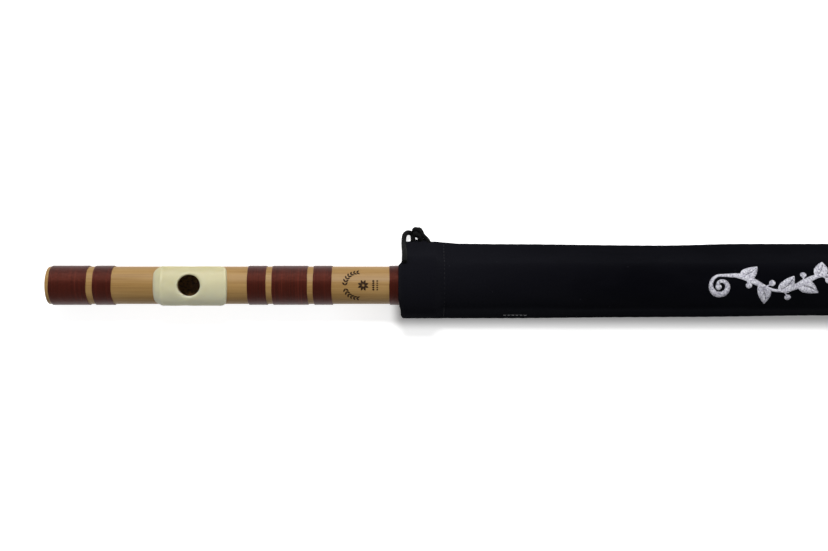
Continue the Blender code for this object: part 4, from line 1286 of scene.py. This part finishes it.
def make_sprig(silver, blank):
    """Satin-stitched vine: a scroll, a stem that swells and thins, leaves to both sides, and berries."""

    def stem_point(share):
        wave = SPRIG_WAVE * math.sin(math.tau * SPRIG_WAVES * share)
        return Vector((SPRIG_AT + SPRIG_LENGTH * share, SPRIG_SHIFT + wave))

    def stem_slope(share):
        steepest = math.tau * SPRIG_WAVES * SPRIG_WAVE / SPRIG_LENGTH
        return math.atan(steepest * math.cos(math.tau * SPRIG_WAVES * share))

    first = 1 / (4 * SPRIG_WAVES)
    top = stem_point(first)
    scroll = []
    for k in range(SCROLL_STEPS):
        share = k / SCROLL_STEPS
        turn = math.pi / 2 + math.tau * SCROLL_TURNS * (1 - share)
        radius = SCROLL_RADIUS * (SCROLL_EYE + (1 - SCROLL_EYE) * share ** 0.8)
        middle = Vector((SCROLL_AT, top.y - SCROLL_RADIUS))
        scroll.append(middle + towards(turn) * radius)
    stem = scroll + [stem_point(first + (1 - first) * k / STEM_STEPS) for k in range(STEM_STEPS + 1)]

    def stem_width(share):
        swell = 0.5 - 0.5 * math.cos(math.tau * STEM_SWELLS * share)
        taper = smooth_share((1 - share) / STEM_TAPER + STEM_TIP)
        return (STEM_THIN + (STEM_THICK - STEM_THIN) * swell) * taper

    stitches = satin_column(stem, stem_width)
    stitches += satin_berry(scroll[0], SCROLL_BERRY)
    for k in range(1, LEAF_COUNT):
        share = (k + 0.6) / (LEAF_COUNT + 0.2)
        side = 1 if k % 2 else -1
        root = stem_point(share)
        lean = stem_slope(share)
        stitches += satin_leaf(root, lean + side * LEAF_LEAN, LEAF_LENGTH, LEAF_WIDTH, -side * LEAF_BOW)
        stalk = [stem_point(share + STALK_PAST_LEAF)]
        for step in range(STALK_STEPS):
            turn = lean - side * math.radians(STALK_LEAN_DEGREES + STALK_CURL_DEGREES * step)
            stalk.append(stalk[-1] + towards(turn) * STALK_LENGTH / STALK_STEPS)
        stitches += satin_column(stalk, lambda share: STALK_WIDTH)
        stitches += satin_berry(stalk[-1], BERRY_SIZE)
    stitches += satin_leaf(stem_point(1.0), stem_slope(1.0), LEAF_LENGTH, LEAF_WIDTH, LEAF_BOW)
    sprig = sew("satin_stitched_sprig", stitches, blank)
    finish_piece(sprig, "cover", silver, ("embroidered_sprig",), math.radians(60))


def make_casing_stitches(cotton, blank):
    """The row of machine stitches that closes the casing, all round the cover."""
    ring = cover_ring(STITCH_AT)
    middle = place(STITCH_AT, 0.0, AXIS_Z)
    stitches = []
    run = 0.0
    start = ring[0]
    for a, b in zip(ring, ring[1:] + ring[:1]):
        run += (b - a).length
        if run >= CASING_STITCH:
            normal = (start + b) / 2 - middle
            normal.x = 0.0
            chord = b - start
            normal = (normal - chord * normal.dot(chord) / chord.length_squared).normalized()
            first = start.lerp(b, CASING_STITCH_GAP)
            last = start.lerp(b, 1 - CASING_STITCH_GAP)
            stitches.append((first, last, normal, CASING_THREAD, CASING_THREAD_RISE))
            start = b
            run = 0.0
    sewn = sew("casing_stitches", stitches, blank)
    for vert in sewn.data.vertices:
        vert.co.z = max(vert.co.z, 0.0)
    finish_piece(sewn, "cover", cotton, ("casing_stitching",), math.radians(60))


def make_seam_glint_stitches(cotton, blank):
    """Stitches of the near seam in pale grey thread, whose paleness is a painted glint along the cover's near
    edge.
    """
    spots = []
    for k in range(SEAM_STITCHES + 1):
        d = SEAM_SHOWS_AT + SEAM_STITCH * k
        near_side = [point for point in cover_ring(d) if point.y < AXIS_Y]
        spots.append(min(near_side, key=lambda point: abs(point.z - SEAM_HEIGHT)))
    stitches = []
    for start, stop in zip(spots, spots[1:]):
        first = start.lerp(stop, SEAM_STITCH_GAP)
        last = start.lerp(stop, 1 - SEAM_STITCH_GAP)
        stitches.append((first, last, Vector(SEAM_OUTWARD), SEAM_THREAD, SEAM_THREAD / 2))
    sewn = sew("near_seam_glint_stitches", stitches, blank)
    finish_piece(sewn, "cover", cotton, (), math.radians(60))


def make_turned_in_edges(cotton):
    """The cut edges of the cloth, turned in along both long seams and across the closed end."""
    for node in ("near_seam_allowance", "far_seam_allowance", "end_seam_allowance"):
        low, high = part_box(node)
        centre = (low + high) / 2
        size = high - low
        at_end = node.startswith("end")
        across = size.y - TURNED_IN_END_SHORTER if at_end else TURNED_IN_WIDTH
        deselect_all()
        bpy.ops.mesh.primitive_cube_add(size=1.0, location=centre, scale=(size.x, across, size.z))
        strip = take_primitive(node.replace("allowance", "edge"))
        start_edit(strip)
        divide_long_edges(strip, 1 if at_end else 0, 10 * MM, 16 if at_end else 120)
        end_edit()
        for vert in strip.data.vertices:
            if not at_end:
                marks, sign = (NEAR_REACH, -1) if node.startswith("near") else (FAR_REACH, 1)
                reach = between_marks(vert.co.x - MOUTH_X, marks) - TURNED_IN_FROM_SEAM
                vert.co.y = AXIS_Y + sign * reach + (vert.co.y - centre.y)
            wave_x = vert.co.x / TURNED_IN_WAVE_SIZE
            wave_y = vert.co.y / TURNED_IN_WAVE_SIZE
            if vert.co.z > centre.z:
                vert.co.z += TURNED_IN_WAVE * noise.noise(Vector((wave_x, wave_y, 2.0)))
        apply_modifier(
            strip,
            "BEVEL",
            width=TURNED_IN_ROUND,
            segments=2,
            limit_method="ANGLE",
            angle_limit=math.radians(50),
        )
        finish_piece(strip, "cover", cotton, (node,))


# The ink ornament on the bamboo


def ink_leaf(root, heading, length, width):
    """Rows of three points across a leaf, on the unrolled tube."""
    ahead = towards(heading)
    across = square_to(ahead)
    rows = []
    for k in range(INK_STEPS + 1):
        share = k / INK_STEPS
        half = width / 2 * math.sin(math.pi * min(max(share, 0.03), 0.97)) ** 0.8
        centre = Vector(root) + ahead * length * share
        rows.append((centre - across * half, centre, centre + across * half))
    return rows


def make_ink_ornament(ink):
    """A stamped ornament: an arc of leaves, a rosette, and two rows of dots."""
    leaves = []
    centre = Vector((RING_AT, 0.0))
    for k in range(-RING_PAIRS_EACH_WAY, RING_PAIRS_EACH_WAY + 1):
        turn = math.pi - math.radians(RING_STEP_DEGREES * k)
        spot = centre + towards(turn) * RING_RADIUS
        onward = 1 if k >= 0 else -1
        for lean in (-RING_LEAN_DEGREES, RING_LEAN_DEGREES):
            heading = turn - onward * math.pi / 2 + math.radians(lean)
            leaves.append(ink_leaf(spot, heading, *RING_LEAF))
    rosette = Vector((ROSETTE_AT, 0.0))
    for k in range(ROSETTE_PETALS):
        turn = math.tau * (k + 0.5) / ROSETTE_PETALS
        leaves.append(ink_leaf(rosette + towards(turn) * ROSETTE_EYE, turn, *ROSETTE_PETAL))
    for x, size in DOT_ROWS:
        for k in range(DOTS_IN_ROW):
            side = (k - (DOTS_IN_ROW - 1) / 2) * DOT_SPACING
            leaves.append(ink_leaf((x * MM, side), 0.0, DOT_LENGTHENED * size * MM, size * MM))
    points = []
    faces = []
    out = TUBE_RADIUS + INK_ABOVE_BAMBOO
    for rows in leaves:
        first = len(points)
        for row in rows:
            for spot in row:
                turn = spot.y / TUBE_RADIUS
                points.append((HEAD_X + spot.x, AXIS_Y + out * math.sin(turn), AXIS_Z + out * math.cos(turn)))
        for k in range(len(rows) - 1):
            for i in (0, 1):
                a = first + 3 * k + i
                faces.append((a, a + 1, a + 4, a + 3))
    ornament = mesh_piece("ink_ornament", points, faces)
    start_edit(ornament)
    pick(ornament, "faces", lambda face: face.normal.z < 0)
    bpy.ops.mesh.flip_normals()
    end_edit()
    apply_modifier(ornament, "SOLIDIFY", thickness=INK_THICKNESS, offset=-1.0)
    finish_piece(ornament, "flute", ink)


# The table, the light and the camera


def make_camera():
    """The camera looks straight down, so it isn't turned."""
    data = bpy.data.cameras.new("camera")
    data.lens = CAMERA_LENS
    data.sensor_width = CAMERA_SENSOR
    data.clip_start = 0.01
    data.clip_end = 50.0
    camera = bpy.data.objects.new("camera", data)
    camera.location = (CAMERA_X, AXIS_Y + CAMERA_FROM_AXIS, AXIS_Z + CAMERA_ABOVE_AXIS)
    bpy.context.scene.collection.objects.link(camera)
    bpy.context.scene.camera = camera


def seen_directly(tree):
    """1 for what the camera sees, also in a gloss or through glass, and 0 for light on the object."""
    path = add_node(tree, "LightPath")
    seen = path.outputs["Is Camera Ray"]
    for kind in ("Is Glossy Ray", "Is Transmission Ray"):
        seen = add_node(tree, "Math", {"operation": "MAXIMUM"}, {0: seen, 1: path.outputs[kind]}).outputs[0]
    return seen


def make_table():
    """White paper on the table: it takes the shadow, and a glow that the camera sees, painted light, keeps it
    white and washes out the fainter shadows beside the flute.
    """
    deselect_all()
    bpy.ops.mesh.primitive_plane_add(size=PAPER_SIZE, location=(0.0, 0.0, -PAPER_BELOW))
    table = take_primitive("table")
    made = bpy.data.materials.new("white_paper")
    made.use_nodes = True
    tree = made.node_tree
    tree.nodes.clear()
    where = add_node(tree, "TexCoord").outputs["Object"]
    middle = ((SHADE_LOW[0] + SHADE_HIGH[0]) / 2, (SHADE_LOW[1] + SHADE_HIGH[1]) / 2, 0.0)
    half = ((SHADE_HIGH[0] - SHADE_LOW[0]) / 2, (SHADE_HIGH[1] - SHADE_LOW[1]) / 2, 1.0)
    aside = add_node(tree, "VectorMath", {"operation": "SUBTRACT"}, {0: where, 1: middle})
    apart = add_node(tree, "VectorMath", {"operation": "ABSOLUTE"}, {0: aside})
    beyond = add_node(tree, "VectorMath", {"operation": "SUBTRACT"}, {0: apart, 1: half})
    outside = add_node(tree, "VectorMath", {"operation": "MAXIMUM"}, {0: beyond, 1: (0.0, 0.0, 0.0)})
    distance = add_node(tree, "VectorMath", {"operation": "LENGTH"}, {0: outside}).outputs["Value"]
    away = add_node(tree, "MapRange", inputs={0: distance, 1: SHADE_FADE[0], 2: SHADE_FADE[1]})
    tone = add_node(tree, "Mix", {"data_type": "RGBA"}, {0: away, 6: colour("#F6F6F6"), 7: colour("#CCCCCC")})
    paper = add_node(tree, "BsdfDiffuse", inputs={"Color": tone.outputs[2]})
    easing = {"interpolation_type": "SMOOTHSTEP"}
    near = add_node(tree, "MapRange", easing, {0: distance, 2: SHADE_EDGE, 3: GLOW_IN_SHADE, 4: GLOW_BESIDE})
    wide = add_node(tree, "Math", {"operation": "MULTIPLY_ADD"}, {0: away, 1: GLOW_FURTHER, 2: near})
    far_range = {1: FAR_OFF[0], 2: FAR_OFF[1], 3: 0.0, 4: GLOW_FAR_OFF}
    far_away = add_node(tree, "MapRange", inputs={0: distance, **far_range})
    level = add_node(tree, "Math", {"operation": "ADD"}, {0: wide, 1: far_away})
    lift = add_node(tree, "Math", {"operation": "MULTIPLY"}, {0: seen_directly(tree), 1: level})
    glow = add_node(tree, "Emission", inputs={"Color": colour("#FFFFFF"), "Strength": lift})
    both = add_node(tree, "AddShader", inputs={0: paper, 1: glow})
    add_node(tree, "OutputMaterial", inputs={0: both})
    table.data.materials.append(made)


def make_light():
    """A white sky that lights the object faintly, and three lamps on the far side."""
    world = bpy.data.worlds.new("studio")
    bpy.context.scene.world = world
    world.use_nodes = True
    tree = world.node_tree
    tree.nodes.clear()
    strength = add_node(tree, "MapRange", inputs={0: seen_directly(tree), 3: SKY_STRENGTH, 4: 1.0})
    sky = add_node(tree, "Background", inputs={"Color": colour("#FFFFFF"), "Strength": strength})
    add_node(tree, "OutputWorld", inputs={0: sky})
    for name, spot, length, width, watts, lights_colours in LAMPS:
        data = bpy.data.lights.new(name, "AREA")
        data.shape = "RECTANGLE"
        data.size = length
        data.size_y = width
        data.energy = watts
        lamp = bpy.data.objects.new(name, data)
        lamp.visible_diffuse = lights_colours
        lamp.location = spot
        lamp.rotation_euler = (Vector(LAMPS_AIM) - Vector(spot)).to_track_quat("-Z", "Y").to_euler()
        bpy.context.scene.collection.objects.link(lamp)
    bpy.context.scene.view_settings.view_transform = "Standard"


make_camera()
# Braided polyester cord, black and dull: just enough light on the plaits to tell them apart
cord = fine_grained("braided_polyester_cord", "#040404", "#0E0E0F", 0.5 * MM, 0.75, 0.02, 0.06)
make_drawstring(cord)

make_bamboo(oiled_bamboo(), scorched_bamboo())
make_cork(natural_cork())
thread = wound_thread()
for number, node in enumerate(BINDINGS):
    make_binding(node, number, thread)
make_lip_plate(cast_resin())
# Stamping ink that has soaked into the bamboo: matt dark brown, paler where less of it took
make_ink_ornament(fine_grained("stamping_ink", "#1C1006", "#36230F", 0.6 * MM, 0.7, 0.0, 0.1))

make_cover(black_velvet())
blank = stitch_blank()
# Mercerised sewing cotton: black, with a faint gleam that the velvet beside it hasn't
casing_cotton = fine_grained("sewing_cotton", "#0C0C0F", "#151519", 0.4 * MM, 0.7, 0.02, 0.1)
make_casing_stitches(casing_cotton, blank)
# Grey matt thread: pale dashes on the black cloth, a painted glint along the near seam
seam_glint_thread = fine_grained("grey_glint_thread", "#77777B", "#A6A6AA", 0.4 * MM, 0.6, 0.0, 0.2)
make_seam_glint_stitches(seam_glint_thread, blank)
make_sprig(silver_rayon(), blank)
# Plain-woven cotton, the velvet's back: a dull black, paler than the pile
make_turned_in_edges(fine_grained("black_cotton_lining", "#121214", "#1E1E21", 0.5 * MM, 0.85))
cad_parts["drawstring_in_casing"].data.materials.clear()
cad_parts["drawstring_in_casing"].data.materials.append(cord)

make_table()
make_light()
